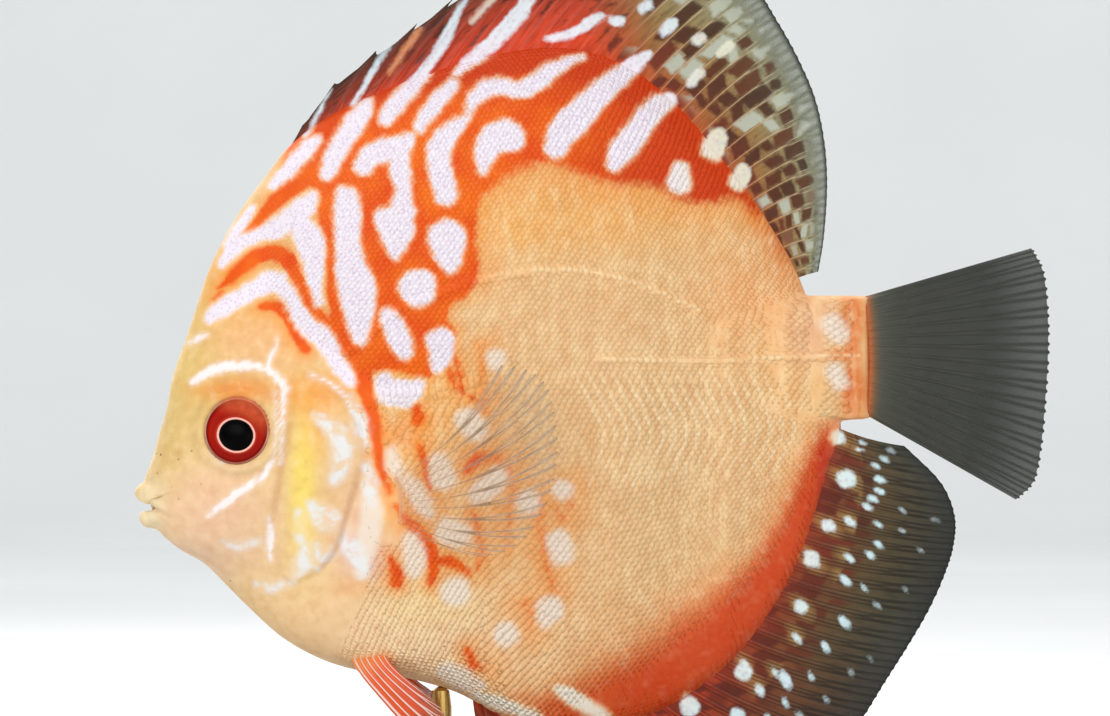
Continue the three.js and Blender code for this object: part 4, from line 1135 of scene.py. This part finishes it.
# Eyes
# A red iris round a black pupil with a pale pink ring, domed and wet, set in a fleshy rim on each side.
# It is turned from one profile, and leans outwards with the cheek.
IRIS_RINGS = [
    (0.0, (1, 1, 1)), (0.474, (2, 1, 1)), (0.490, (250, 190, 174)), (0.522, (252, 196, 178)),
    (0.548, (186, 44, 26)),
    (0.62, (152, 26, 14)), (0.78, (172, 26, 10)), (0.88, (130, 16, 8)), (0.935, (96, 14, 10)),
    (0.96, (226, 150, 124)),
    (1.0, (190, 168, 142)),
]
iris, tree, shader = paint("red_iris", 0.35)
shader.inputs["Specular IOR Level"].default_value = 0.04
shader.inputs["Coat Roughness"].default_value = 0.05
grain = noise(tree, object_place(tree), 700.0, 4.0)
jitter = shader_node(tree, "ShaderNodeMath", operation="MULTIPLY_ADD", Value=grain)
jitter.inputs[1].default_value = 0.012
tree.links.new(attribute(tree, "out"), jitter.inputs[2])
tinted = colour_ramp(tree, jitter.outputs[0], [(place, linear(*colour)) for place, colour in IRIS_RINGS])
band = edge_factor(tree, "out", 0.54, 0.62)
for cover, tint in (
    (edge_factor(tree, "upper", 0.15, 0.9, None, 0.55), linear(222, 106, 60)),
    (edge_factor(tree, "lower", 0.1, 0.8, None, 0.55), linear(122, 16, 12)),
    (spread(tree, grain, 0.35, 0.75, 0.4), linear(140, 20, 10)),
):
    tinted = blended(tree, product(tree, cover, band), tinted, tint)
tree.links.new(tinted, shader.inputs["Base Color"])

# The eye from the middle of the pupil round to its back, as (radius, height) in millimetres
EYE_PROFILE = [(0, 1.55), (0.8, 1.5), (1.6, 1.33), (2.3, 1.05), (2.72, 0.72), (2.9, 0.55), (3.1, 0.62),
               (3.5, 0.72),
               (4.2, 0.72), (4.9, 0.62), (5.4, 0.48), (5.75, 0.3), (6.0, 0.02), (6.15, -0.5), (6.1, -1.4),
               (5.4, -2.6), (0, -3.0)]
# The pupil is a little longer than it is tall, turned, and set low in the iris
PUPIL_LONG, PUPIL_FLAT, PUPIL_TURN, PUPIL_DROP = 0.12, 0.01, math.radians(12), 0.8
LEAN_STEP, LEAN = 3, 0.75
EYE_SUNK = 0.05
x, z = EYE
seat = np.array([x, -bare_half(x, z) - EYE_SUNK, z]) * MM
slope_x = (bare_half(x - LEAN_STEP, z) - bare_half(x + LEAN_STEP, z)) / (2 * LEAN_STEP)
slope_z = (bare_half(x, z - LEAN_STEP) - bare_half(x, z + LEAN_STEP)) / (2 * LEAN_STEP)
outward = Vector((LEAN * slope_x, -1, LEAN * slope_z)).normalized()
across = outward.cross(Vector((0, 0, 1))).normalized()
up = across.cross(outward).normalized()
up = -up if up.z < 0 else up
for side, word in SIDES:
    eye = turned(f"eye_{word}", [(r * MM, h * MM) for r, h in EYE_PROFILE], (0, 0, 0), 72)
    bpy.ops.object.shade_smooth()
    flat = coordinates(eye)
    reach = np.hypot(flat[:, 0], flat[:, 1]) / (EYE_RADIUS * MM)
    near_pupil = 1 - smoothstep(reach, 0.6, 0.95)
    long = flat[:, 0] * (1 + PUPIL_LONG * near_pupil)
    tall = flat[:, 1] * (1 - PUPIL_FLAT * near_pupil)
    turn_x = long * math.cos(PUPIL_TURN) - tall * math.sin(PUPIL_TURN)
    turn_y = long * math.sin(PUPIL_TURN) + tall * math.cos(PUPIL_TURN) - PUPIL_DROP * MM * near_pupil
    rows = seat + np.outer(turn_x, across) + np.outer(turn_y, up) + np.outer(flat[:, 2], outward)
    add_values(eye, "out", np.where(flat[:, 2] < -0.0006, 1.0, np.minimum(reach, 1)))
    add_values(eye, "upper", np.clip((turn_y - 0.5 * turn_x) / (EYE_RADIUS * MM), 0, 1))
    add_values(eye, "lower", np.clip(-turn_y / (EYE_RADIUS * MM), 0, 1))
    rows[:, 1] *= side
    set_coordinates(eye, rows + np.array(DISC))
    face_outwards()
    eye.data.materials.append(iris)
    ride_root(eye, "eye", f"eye_{word}")


# Dorsal fin
# Nine stiff spines in front and about thirty soft branching rays behind, in a web that thins to its margin.
# The rays are ridges raised in the web itself, which is red in front and netted brown and green behind.
# The fin's margin, as (angle about the disc's centre, x, z) in degrees and millimetres
DORSAL_TIPS = [
    (18, 56.4, 18.6), (24, 57.4, 24.6), (31.8, 58, 33.7), (38, 57.6, 41.4), (44.7, 56, 49.5), (51, 53.1, 56.6),
    (57, 49.5, 63.2), (68, 43.2, 72.5), (77, 35.1, 78.2), (85.6, 25.2, 80.2), (94.5, 16.2, 79.4),
    (99, 11.3, 78.1),
    (103.5, 6.7, 76.5), (108.8, 1.6, 74.2), (114.5, -4.5, 71), (122, -16.8, 62.6), (129, -30.4, 52.8),
    (135, -39.2, 41),
]


def fin_sheet(name, columns, rows):
    """A flat grid to lay a fin on, with each vertex's place along the root and out to the margin."""
    bpy.ops.object.select_all(action="DESELECT")
    bpy.ops.mesh.primitive_grid_add(x_subdivisions=columns, y_subdivisions=rows, size=1, calc_uvs=True)
    sheet = bpy.context.object
    sheet.name = name
    flat = np.array([v.co for v in sheet.data.vertices])
    return sheet, np.clip(flat[:, 0] + 0.5, 0, 1), np.clip(flat[:, 1] + 0.5, 0, 1)


def ray_crest(phase, out, branch):
    """The ridge of a ray across its share of the web, which forks past the place where it branches."""
    aside = phase - 0.5
    apart = 0.2 * smoothstep(out, branch, 1.0) + 0.02
    forked = ridge(aside - apart, 0.08) + ridge(aside + apart, 0.08)
    mix = smoothstep(out, branch, branch + 0.12)
    return ridge(aside, 0.11) * (1 - mix) + np.clip(forked, 0, 1) * mix


def lay_fin(sheet, roots, tips, out, crest, notch, bow, sway, thickness):
    """Lays a fin's grid between its root and tip curves, and notes the thickness of its web and rays.

    Notch is how far the margin draws in between rays, bow how far the rays curve in the fin's plane, as shares of
    their length, and sway how far the fin stands out sideways, in millimetres."""
    reach = tips - roots
    aside = np.stack([reach[:, 2], np.zeros(len(reach)), -reach[:, 0]], 1)
    share = out * (1 - notch * (1 - np.clip(crest, 0, 1)))
    points = roots + reach * share[:, None] + aside * (-4 * bow * share * (1 - share))[:, None]
    points[:, 1] += sway(share)
    set_coordinates(sheet, in_place(points))
    thickest = float(thickness.max())
    group = sheet.vertex_groups.new(name="thickness")
    for index, value in enumerate(thickness / thickest):
        group.add([index], float(value), "REPLACE")
    return points, thickest


def thicken(sheet, thickest):
    """Turns the laid grid into a closed web with raised rays on both faces."""
    solid = sheet.modifiers.new("web", "SOLIDIFY")
    solid.thickness = 2 * thickest * MM
    solid.offset = 0
    solid.vertex_group = "thickness"
    solid.thickness_vertex_group = 0.0
    pick(sheet)
    bpy.ops.object.modifier_apply(modifier="web")
    bpy.ops.object.shade_smooth()


def fin_paint(name, roughness, coat, rays, streaks):
    """A fin's finish: its washes, cells, ray lines and pale spots, with a clear web where it is thin."""
    material, tree, shader = paint(name, roughness, coat)
    place = object_place(tree)
    fine = noise(tree, place, 1100.0, 3.0)
    waver = spread(tree, fine, 0.0, 1.0, 2.2, -2.2)
    unrolled = shader_node(tree, "ShaderNodeUVMap", uv_map="UVMap").outputs["UV"]
    unrolled = shader_node(tree, "ShaderNodeMapping", Vector=unrolled, Scale=(rays * 4.0, 9.0, 1.0))
    streak = noise(tree, unrolled.outputs["Vector"], 1.0, 4.0)
    ground, dark, cell, ray, spot = (
        attribute(tree, name, "Color")
        for name in ("ground", "streak_colour", "cell_colour", "ray_colour", "spot_colour")
    )
    colour = blended(tree, spread(tree, streak, 0.42, 0.72, streaks), ground, dark)
    colour = blended(tree, edge_factor(tree, "cell", -2.0, 2.2, waver, 0.9), colour, cell)
    colour = blended(tree, edge_factor(tree, "ray", 0.4, 1.0, None, 0.8), colour, ray)
    spot = blended(tree, spread(tree, dots(tree, place, 1000.0), 0.5, 0.15, 0.5), spot, linear(204, 190, 200))
    colour = blended(tree, edge_factor(tree, "pale", -2.2, 2.6, waver, 0.92), colour, spot)
    tree.links.new(colour, shader.inputs["Base Color"])
    tree.links.new(attribute(tree, "solid"), shader.inputs["Alpha"])
    raise_grain(tree, shader, fine, 0.3)
    return material


def finish_fin(sheet, thickest, colours, values, slot, nodes, look):
    """Gives a laid fin its colours and values to paint by, its thickness, its finish and its place in the model."""
    nowhere = np.full(len(values["ray"]), -9.0)
    for name in ("streak_colour", "cell_colour", "ray_colour", "spot_colour"):
        add_colours(sheet, name, colours.get(name, colours["ground"]))
    add_colours(sheet, "ground", colours["ground"])
    for name in ("cell", "ray", "pale", "solid"):
        add_values(sheet, name, values.get(name, nowhere))
    thicken(sheet, thickest)
    sheet.data.materials.append(fin_paint(*look))
    ride_root(sheet, slot, *nodes)


def washed(stops, place):
    """Colours along a list of (place, colour) stops."""
    places = [p for p, _ in stops]
    return np.stack([np.interp(place, places, [c[k] for _, c in stops]) for k in range(3)], 1)


def level(rows):
    """Rows of (x, z) as points in the fish's middle plane."""
    return np.stack([rows[:, 0], np.zeros(len(rows)), rows[:, 1]], 1)


def rim_point(angle, beyond):
    reach = rim_radius(angle % 360) + beyond
    turn = np.radians(angle)
    return level(np.stack([reach * np.cos(turn), reach * np.sin(turn)], 1))


def cell_depth(lane, out, lanes, first, last, dark, gap, width, seed):
    """Broken rows of cells between a fin's rays, as depths in rough pixels, and a tone for each cell.

    Dark and gap are shares of the fin's height."""
    dice = np.random.default_rng(seed)
    depth, tone = np.full(lane.shape, -9.0), np.zeros(lane.shape)
    for k in range(lanes + 1):
        near = np.abs(lane - k) <= 0.5
        start = first + dice.uniform(-gap, dark)
        while start < last:
            length = dark * dice.uniform(0.5, 1.8)
            slant = dice.uniform(-0.07, 0.07)
            aside = lane[near] - k - dice.uniform(-0.06, 0.06)
            ends = (length / 2 - np.abs(out[near] - start - length / 2 - slant * aside)) * 110
            sides = (width * dice.uniform(0.75, 1.15) - np.abs(aside)) * 12
            missing = dice.uniform() < 0.08
            here = np.minimum(ends, sides) - 6 * missing
            tone[near] = np.where(here > depth[near], dice.uniform(-1, 1), tone[near])
            depth[near] = np.maximum(depth[near], here)
            start += length + gap * dice.uniform(0.3, 2.0)
    return depth, tone


RAY_COLUMNS, FIN_ROWS = 8, 44
ROOT_SUNK = 2.4
WEB_THICK, ROOT_THICK = 0.11, 1.25
SPINY_NOTCH, SOFT_NOTCH = 0.15, 0.006
SWAY, SWAY_WAVES = 0.9, 14


def tall_fin(name, spines, soft, angles, tips, bow):
    """Lays a fin of spines and then soft rays, between the first angle, their parting and the last angle."""
    first, parting, last = angles
    sheet, along, out = fin_sheet(name, (spines + soft) * RAY_COLUMNS, FIN_ROWS)
    ray_place = along * (spines + soft)
    in_spines = ray_place < spines
    angle = np.where(
        in_spines, first + (parting - first) * ray_place / spines,
        parting + (last - parting) * (ray_place - spines) / soft,
    )
    spiny = smoothstep(ray_place, spines + 0.6, spines - 0.6)
    phase = ray_place % 1
    crest = np.where(in_spines, ridge(phase - 0.5, 0.13), ray_crest(phase, out, 0.45))
    web = WEB_THICK + (ROOT_THICK - WEB_THICK) * (1 - smoothstep(out, 0, 0.45)) ** 1.4
    wave = np.sin(np.maximum(ray_place - spines, 0) / soft * SWAY_WAVES)
    points, thickest = lay_fin(
        sheet, rim_point(angle, -ROOT_SUNK), level(smoothed(tips, angle)), out, crest,
        SOFT_NOTCH + (SPINY_NOTCH - SOFT_NOTCH) * spiny, bow, lambda share: SWAY * share**2 * wave,
        web + crest * (0.16 + 0.2 * spiny) * (1 - 0.6 * out),
    )
    return sheet, thickest, as_pixels(*points.T), out, ray_place, angle, spiny, crest


DORSAL_SPINES, DORSAL_SOFT = 9, 31
sheet, thickest, (px, py), out, ray_place, angle, spiny, crest = tall_fin(
    "dorsal_fin", DORSAL_SPINES, DORSAL_SOFT, (135, 100, 18), DORSAL_TIPS, 0.04
)
wx, wy = wavered(px, py, 1.4, 3)
rear = smoothstep(px, 572, 665)

# The web from root to margin: red and brick in front, olive behind
low_front = smoothstep(py, 66, 92)
brick = np.clip((low_front + smoothstep(px, 470, 430) * (1 - low_front)) * smoothstep(px, 560, 470), 0, 1)
front_wash = washed([(0, (216, 62, 12)), (0.15, (212, 60, 14)), (0.3, (196, 58, 22)), (0.5, (170, 54, 26)),
                     (0.75, (140, 56, 32)), (0.92, (108, 54, 34)), (1, (60, 42, 30))], out)
brick_wash = washed([(0, (216, 62, 12)), (0.14, (204, 58, 16)), (0.32, (164, 52, 24)), (0.6, (126, 48, 28)),
                     (0.88, (92, 44, 28)), (1, (50, 36, 28))], out)
rear_wash = washed([(0, (208, 76, 22)), (0.08, (180, 84, 34)), (0.25, (150, 100, 50)), (0.5, (146, 122, 78)),
                    (0.75, (140, 136, 104)), (0.97, (120, 126, 106)), (0.985, (50, 52, 42)),
                    (1, (40, 42, 36))], out)
ground = toward(toward(front_wash, brick_wash, brick), rear_wash, rear)

# The brown cells behind, the blotches in front, and a pearl cell here and there
dark, tone = cell_depth(ray_place, out, 40, 0.03, 0.9, 0.13, 0.026, 0.46, 5)
dark = np.where(rear > 0.02, dark - 5 * (1 - rear), -9)
dark = dark - 6 * smoothstep(out, 0.74, 0.95) - 2 * smoothstep(angle, 28, 20)
blotch, blotch_tone = cell_depth(ray_place, out, 40, 0.3, 0.98, 0.12, 0.1, 0.42, 11)
blotch = blotch - 2.0 * (1 - smoothstep(out, 0.4, 0.8))
tone = np.where((rear < 0.3) & (blotch > dark), blotch_tone, tone)
dark = np.where(rear < 0.3, np.maximum(dark, blotch - 1.2), dark)
dark_colour = washed([(0, (124, 32, 4)), (0.15, (94, 26, 4)), (0.5, (80, 30, 8)), (1, (74, 48, 24))], out)
dark_colour = toward(dark_colour, (76, 26, 12), 0.7 * (1 - rear)) * (1 + 0.28 * tone)[:, None]
pearl = smoothstep(tone, 0.5, 0.54) * smoothstep(out, 0.08, 0.2) * rear
dark_colour = toward(dark_colour, (178, 182, 164), pearl)

# The body's pale strokes run on over the fin, with a few thin streaks of its own
DORSAL_STREAKS = [
    [(390, 72, 3), (405, 50, 3), (420, 30, 3)],
    [(472, 22, 3), (482, 10, 3), (492, 0, 3), (504, -14, 2)],
]
pale, thin = stroke_depth(wx, wy, PALE_STROKES), stroke_depth(wx, wy, DORSAL_STREAKS)
spot = washed([(0, (238, 226, 238)), (0.25, (222, 228, 232)), (0.8, (206, 222, 226)),
               (1, (180, 196, 196))], out)
spot = toward(spot, (222, 214, 182), 0.75 * smoothstep(px, 660, 720))
thin_colour = np.where((px < 440)[:, None], [206, 132, 86], [214, 192, 170])
spot = np.where((thin > pale)[:, None], thin_colour, spot)

front_ray = washed([(0, (212, 62, 14)), (0.3, (168, 62, 30)), (0.8, (150, 84, 52)), (1, (96, 66, 46))], out)
rear_ray = washed([(0, (196, 110, 60)), (0.15, (206, 150, 110)), (0.6, (204, 178, 140)), (0.9, (176, 180, 156)),
                   (1, (70, 70, 60))], out)
clear = (0.45 * rear + 0.04) * smoothstep(out, 0.72, 0.94) * (1 - 0.7 * crest) * (1 - smoothstep(out, 0.97, 0.99))
finish_fin(
    sheet, thickest,
    {"ground": ground, "streak_colour": ground * 0.6, "cell_colour": dark_colour,
     "ray_colour": toward(front_ray, rear_ray, rear), "spot_colour": spot},
    {"ray": np.clip((crest - 0.25) / 0.75, 0, 1) * (0.35 + 0.5 * rear), "pale": np.maximum(pale, thin),
     "cell": dark, "solid": 1 - clear},
    "dorsal", ("dorsal_fin_spiny", "dorsal_fin_soft"), ("dorsal_web", 0.45, 0.08, 40, 0.6),
)


# Anal fin
# The dorsal fin's match below: eight spines and about thirty soft rays, red-brown and dark at the margin.
# Pale blue spots are scattered over its web.
ANAL_TIPS = [
    (264, -4.6, -64.4), (265.6, 0.9, -71.3), (267.4, 6.3, -75.9), (270, 12.6, -79.2), (272.8, 18.9, -81.3),
    (275.6, 26.1, -82.3), (278.6, 33.3, -82.3), (285, 42.7, -80.6), (291.3, 50.9, -76.6), (298, 58.5, -70.2),
    (304.5, 63.9, -62.6), (311, 68.4, -55.4), (317.8, 72.8, -48.6), (323.4, 76.4, -42.4), (328, 79, -36.6),
    (335, 80.8, -30.6), (341.8, 80.9, -24.8), (346.5, 78.4, -19.2), (351.5, 72.0, -12.8),
]
# The spots, as (x, y, half width) in pixels of the camera's view
BLUE_SPOTS = [
    (866, 434, 5), (863, 443, 3), (860, 450, 3), (838, 438, 6), (885, 459, 4), (891, 451, 4), (875, 466, 4),
    (880, 479, 5), (880, 491, 5), (873, 499, 5), (868, 507, 5), (846, 479, 8), (878, 524, 4), (902, 510, 3),
    (903, 531, 3), (828, 525, 7), (850, 522, 6), (878, 545, 5), (870, 555, 5), (811, 559, 8), (849, 557, 5),
    (845, 581, 6), (865, 588, 4), (801, 606, 7), (877, 605, 4), (845, 622, 7), (797, 637, 5), (825, 647, 6),
    (785, 680, 8), (775, 672, 4), (812, 677, 4), (785, 702, 5), (850, 672, 4), (870, 658, 3), (905, 590, 3),
    (920, 550, 3), (935, 520, 3), (745, 668, 8), (760, 690, 6), (800, 716, 5), (826, 700, 4), (768, 720, 6),
    (732, 738, 7), (790, 742, 5), (700, 758, 7), (750, 766, 5), (668, 772, 6), (716, 784, 4), (632, 780, 6),
    (680, 800, 4), (596, 778, 5), (642, 806, 4), (560, 766, 5), (600, 802, 4), (528, 746, 4),
]
def dashes(spots, px, py, angle, reach):
    """How far inside a set of round spots each place is, with each spot drawn out along the fin's rays."""
    turn = np.radians(angle)
    depth = np.full(px.shape, -float(reach))
    for cx, cy, r in spots:
        near = (np.abs(px - cx) < r + reach) & (np.abs(py - cy) < r + reach)
        qx, qy = px[near] - cx, py[near] - cy
        ahead = qx * np.cos(turn[near]) - qy * np.sin(turn[near])
        aside = -qx * np.sin(turn[near]) - qy * np.cos(turn[near])
        depth[near] = np.maximum(depth[near], r - np.hypot(ahead * 0.66, aside * 1.3))
    return depth


ANAL_SPINES, ANAL_SOFT = 8, 28
sheet, thickest, (px, py), out, ray_place, angle, spiny, crest = tall_fin(
    "anal_fin", ANAL_SPINES, ANAL_SOFT, (264, 284, 351.5), ANAL_TIPS, -0.04
)
wx, wy = wavered(px, py, 1.2, 5)
ground = washed([(0, (204, 52, 16)), (0.3, (168, 48, 18)), (0.7, (110, 46, 22)), (1, (44, 34, 26))], out)
rear_wash = washed([(0, (186, 50, 18)), (0.05, (150, 50, 20)), (0.14, (126, 58, 26)), (0.3, (108, 66, 34)),
                    (0.5, (88, 70, 42)), (0.75, (68, 62, 44)), (0.9, (52, 52, 42)), (0.975, (46, 47, 40)),
                    (0.99, (24, 24, 20)), (1, (22, 22, 18))], out)
ground = toward(ground, rear_wash, smoothstep(angle, 282, 322))
brown, tone = cell_depth(ray_place, out, 36, 0.02, 0.8, 0.14, 0.05, 0.4, 9)
brown_colour = washed([(0, (120, 34, 12)), (0.2, (96, 30, 12)), (0.5, (80, 40, 20)), (1, (58, 46, 30))], out)

spots = dashes([(x, y, 0.82 * r) for x, y, r in BLUE_SPOTS], wx, wy, angle - 12, 24)
halo = smoothstep(np.where(out < 0.36, spots, -24), -11, -1)
ground = toward(ground, (176, 150, 84), 0.55 * halo)
spot = washed([(0, (232, 226, 214)), (0.18, (222, 236, 234)), (0.5, (206, 234, 238)), (0.8, (140, 154, 152)),
               (1, (90, 100, 98))], out)
fine_rays = ridge((ray_place * 2) % 1 - 0.5, 0.12) * (1 - spiny)
ray_tint = washed([(0, (112, 28, 10)), (0.3, (54, 26, 14)), (0.6, (34, 28, 18)), (1, (20, 20, 16))], out)
finish_fin(
    sheet, thickest,
    {"ground": ground, "streak_colour": ground * 0.6, "cell_colour": brown_colour * (1 + 0.2 * tone)[:, None],
     "ray_colour": ray_tint, "spot_colour": spot},
    {"ray": np.clip(np.maximum(crest, 0.85 * fine_rays) * 1.1, 0, 1),
     "pale": np.maximum(spots, stroke_depth(wx, wy, PALE_STROKES)),
     "cell": brown - 8 * smoothstep(out, 0.3, 0.7) - 5 * halo,
     "solid": 1 - 0.1 * smoothstep(out, 0.6, 0.9) * (1 - 0.8 * crest)},
    "anal", ("anal_fin_spiny", "anal_fin_soft"), ("anal_web", 0.45, 0.08, 36, 0.5),
)


# Tail fin
# A smoky clear fan of sixteen forked rays, which swings a little to the fish's right.
# Its root wraps the end of the tail stalk.
def curve_through(points, share):
    """Places on a smooth curve through evenly spread points, by a share from 0 to 1."""
    table = np.column_stack([np.linspace(0, 1, len(points)), np.array(points, float)])
    return smoothed(table, np.clip(share, 0, 1))


def root_swell(out, reach):
    """How much thicker a fin is near its root."""
    return (1 - smoothstep(out, 0, reach)) ** 1.5


CAUDAL_RAYS = 16
CAUDAL_ROOT = [(64.7, 14.1), (65.5, 3.4), (65.2, -7.3)]
CAUDAL_TIPS = [(95.4, 23), (97.6, 18.6), (98.4, 11.2), (98.4, 3.6), (97.9, -4.5), (97.2, -12.6), (95.9, -19.2),
               (92.6, -22.7)]
RAY_STEPS = 12
sheet, along, out = fin_sheet("caudal_fin", CAUDAL_RAYS * RAY_STEPS, 48)
ray_place = along * CAUDAL_RAYS
crest = ray_crest(ray_place % 1, out, 0.35)
round_root = np.sqrt(np.clip(1 - (2 * along - 1) ** 4, 0.02, 1))
points, thickest = lay_fin(
    sheet, level(curve_through(CAUDAL_ROOT, along)), level(curve_through(CAUDAL_TIPS, along)), out, crest,
    0.012, 0.0, lambda share: 4 * share**2 + 0.5 * share * np.sin(along * 9),
    0.1 + 1.8 * root_swell(out, 0.3) * round_root + 0.16 * crest * (1 - 0.7 * out),
)
ground = washed([(0, (196, 100, 48)), (0.035, (112, 86, 60)), (0.07, (76, 76, 66)), (0.3, (48, 49, 40)),
                 (1, (44, 46, 38))], out)
ray_tint = washed([(0, (150, 84, 46)), (0.07, (90, 90, 82)), (0.3, (72, 72, 64)), (1, (66, 67, 58))], out)
fine_rays = ridge((ray_place % 1 * 3) % 1 - 0.5, 0.1) * (1 - smoothstep(out, 0.5, 0.95))
clear = smoothstep(out, 0.02, 0.3) * (0.16 + 0.2 * smoothstep(out, 0.6, 1.0)) * (1 - 0.7 * crest)
finish_fin(
    sheet, thickest, {"ground": ground, "streak_colour": ground * 0.75, "ray_colour": ray_tint},
    {"ray": np.clip(np.maximum(0.8 * crest, 0.6 * fine_rays), 0, 1), "solid": 1 - clear},
    "caudal", ("caudal_fin",), ("tail_web", 0.45, 0.06, 16, 0.5),
)


# Pectoral fins
# A clear fan behind each gill cover, held out from the flank, on eleven fine dark forked rays.
# The root is a small fleshy stalk that sinks into the skin.
def mirror(sheet):
    """Turns a left fin's sheet into the right one."""
    rows = coordinates(sheet)
    rows[:, 1] *= -1
    set_coordinates(sheet, rows)
    sheet.data.flip_normals()


PECTORAL_RAYS = 11
PECTORAL_ROOT = [(-20.9, -19.2), (-20.2, -22.4), (-19.6, -25.6)]
# The fan's margin, as (x, z, how far out from the flank) in millimetres
PECTORAL_TIPS = [(-1.4, 2.2, 8.6), (4, 1.3, 9.4), (7.6, -1.4, 10), (9, -6, 10.4), (9.7, -11.6, 10.6),
                 (9.2, -17.4, 10.4), (7.6, -22.8, 9.8), (4.6, -27.8, 8.8), (0.2, -31.2, 7.6),
                 (-4.6, -32.2, 6.2)]
STALK_SUNK = 2.2
flank_y = -bare_half(np.array([-19.0]), np.array([-23.0]))[0]
roots = [(x, STALK_SUNK - bare_half(np.array([x]), np.array([z]))[0], z) for x, z in PECTORAL_ROOT]
tips = [(x, flank_y - far, z) for x, z, far in PECTORAL_TIPS]
for side, word in SIDES:
    sheet, along, out = fin_sheet(f"pectoral_fin_{word}", PECTORAL_RAYS * RAY_STEPS, 56)
    crest = ray_crest((along * PECTORAL_RAYS) % 1, out, 0.4)
    points, thickest = lay_fin(
        sheet, curve_through(roots, along), curve_through(tips, along), out, crest, 0.04, -0.07,
        lambda share: -2.4 * np.sin(np.pi * np.clip(share, 0, 1) ** 0.6),
        0.07 + 0.7 * root_swell(out, 0.2) + 0.13 * crest * (1 - 0.7 * out) * smoothstep(out, 0.08, 0.2),
    )
    if side < 0:
        mirror(sheet)
    ground = washed([(0, (240, 196, 150)), (0.08, (232, 184, 140)), (0.2, (206, 170, 130)),
                     (1, (190, 170, 146))], out)
    ray_tint = washed([(0, (232, 178, 130)), (0.12, (190, 140, 100)), (0.4, (140, 100, 70)),
                       (1, (122, 92, 66))], out)
    fine = np.clip((crest - 0.35) / 0.65, 0, 1) * smoothstep(out, 0.06, 0.18)
    clear = smoothstep(out, 0.02, 0.12) * (0.95 - (0.35 + 0.3 * smoothstep(out, 0.3, 0.7)) * fine)
    finish_fin(
        sheet, thickest, {"ground": ground, "streak_colour": ground * 0.6, "ray_colour": ray_tint},
        {"ray": fine, "solid": 1 - clear},
        "pectoral", (f"pectoral_fin_{word}",), (f"pectoral_web_{word}", 0.4, 0.1, 11, 0.2),
    )


# Pelvic fins
# A long stiff spine and five soft rays under the breast, orange-red with white streaks along the rays.
# Each sweeps back beside the rod, and the pair spreads a little.
PELVIC_RAYS = 6
PELVIC_ROOT = [(-27.4, -1.9, -51.6), (-24.4, -2.2, -51), (-21.4, -2.2, -50.6)]
PELVIC_TIPS = [(-2.2, -12.2, -76.6), (-5.2, -11.6, -71.4), (-7.9, -10.8, -66.6), (-9.4, -10, -62.6),
               (-11.2, -9.2, -59.4), (-13.6, -8.4, -57.2)]
for side, word in SIDES:
    sheet, along, out = fin_sheet(f"pelvic_fin_{word}", PELVIC_RAYS * RAY_STEPS, 50)
    phase = (along * PELVIC_RAYS) % 1
    first = smoothstep(along, 0.2, 0.14)
    crest = np.where(first > 0.5, ridge(phase - 0.5, 0.2), ray_crest(phase, out, 0.5))
    points, thickest = lay_fin(
        sheet, curve_through(PELVIC_ROOT, along), curve_through(PELVIC_TIPS, along), out, crest, 0.05, -0.03,
        lambda share: -2.6 * np.sin(np.pi * np.clip(share, 0, 1) ** 0.5),
        0.1 + root_swell(out, 0.3) + (0.2 + 0.15 * first) * crest * (1 - 0.7 * out),
    )
    if side < 0:
        mirror(sheet)
    ground = washed([(0, (236, 150, 90)), (0.15, (226, 92, 40)), (0.6, (210, 78, 36)), (1, (170, 90, 60))], out)
    ray_tint = washed([(0, (240, 214, 196)), (0.2, (244, 232, 224)), (0.8, (232, 210, 200)),
                       (1, (190, 150, 130))], out)
    finish_fin(
        sheet, thickest, {"ground": ground, "streak_colour": ground * 0.6, "ray_colour": ray_tint},
        {"ray": np.clip(crest * 1.5, 0, 1), "solid": 1 - 0.4 * smoothstep(out, 0.5, 0.95) * (1 - crest)},
        "pelvic", (f"pelvic_fin_{word}",), (f"pelvic_web_{word}", 0.42, 0.12, 6, 0.3),
    )
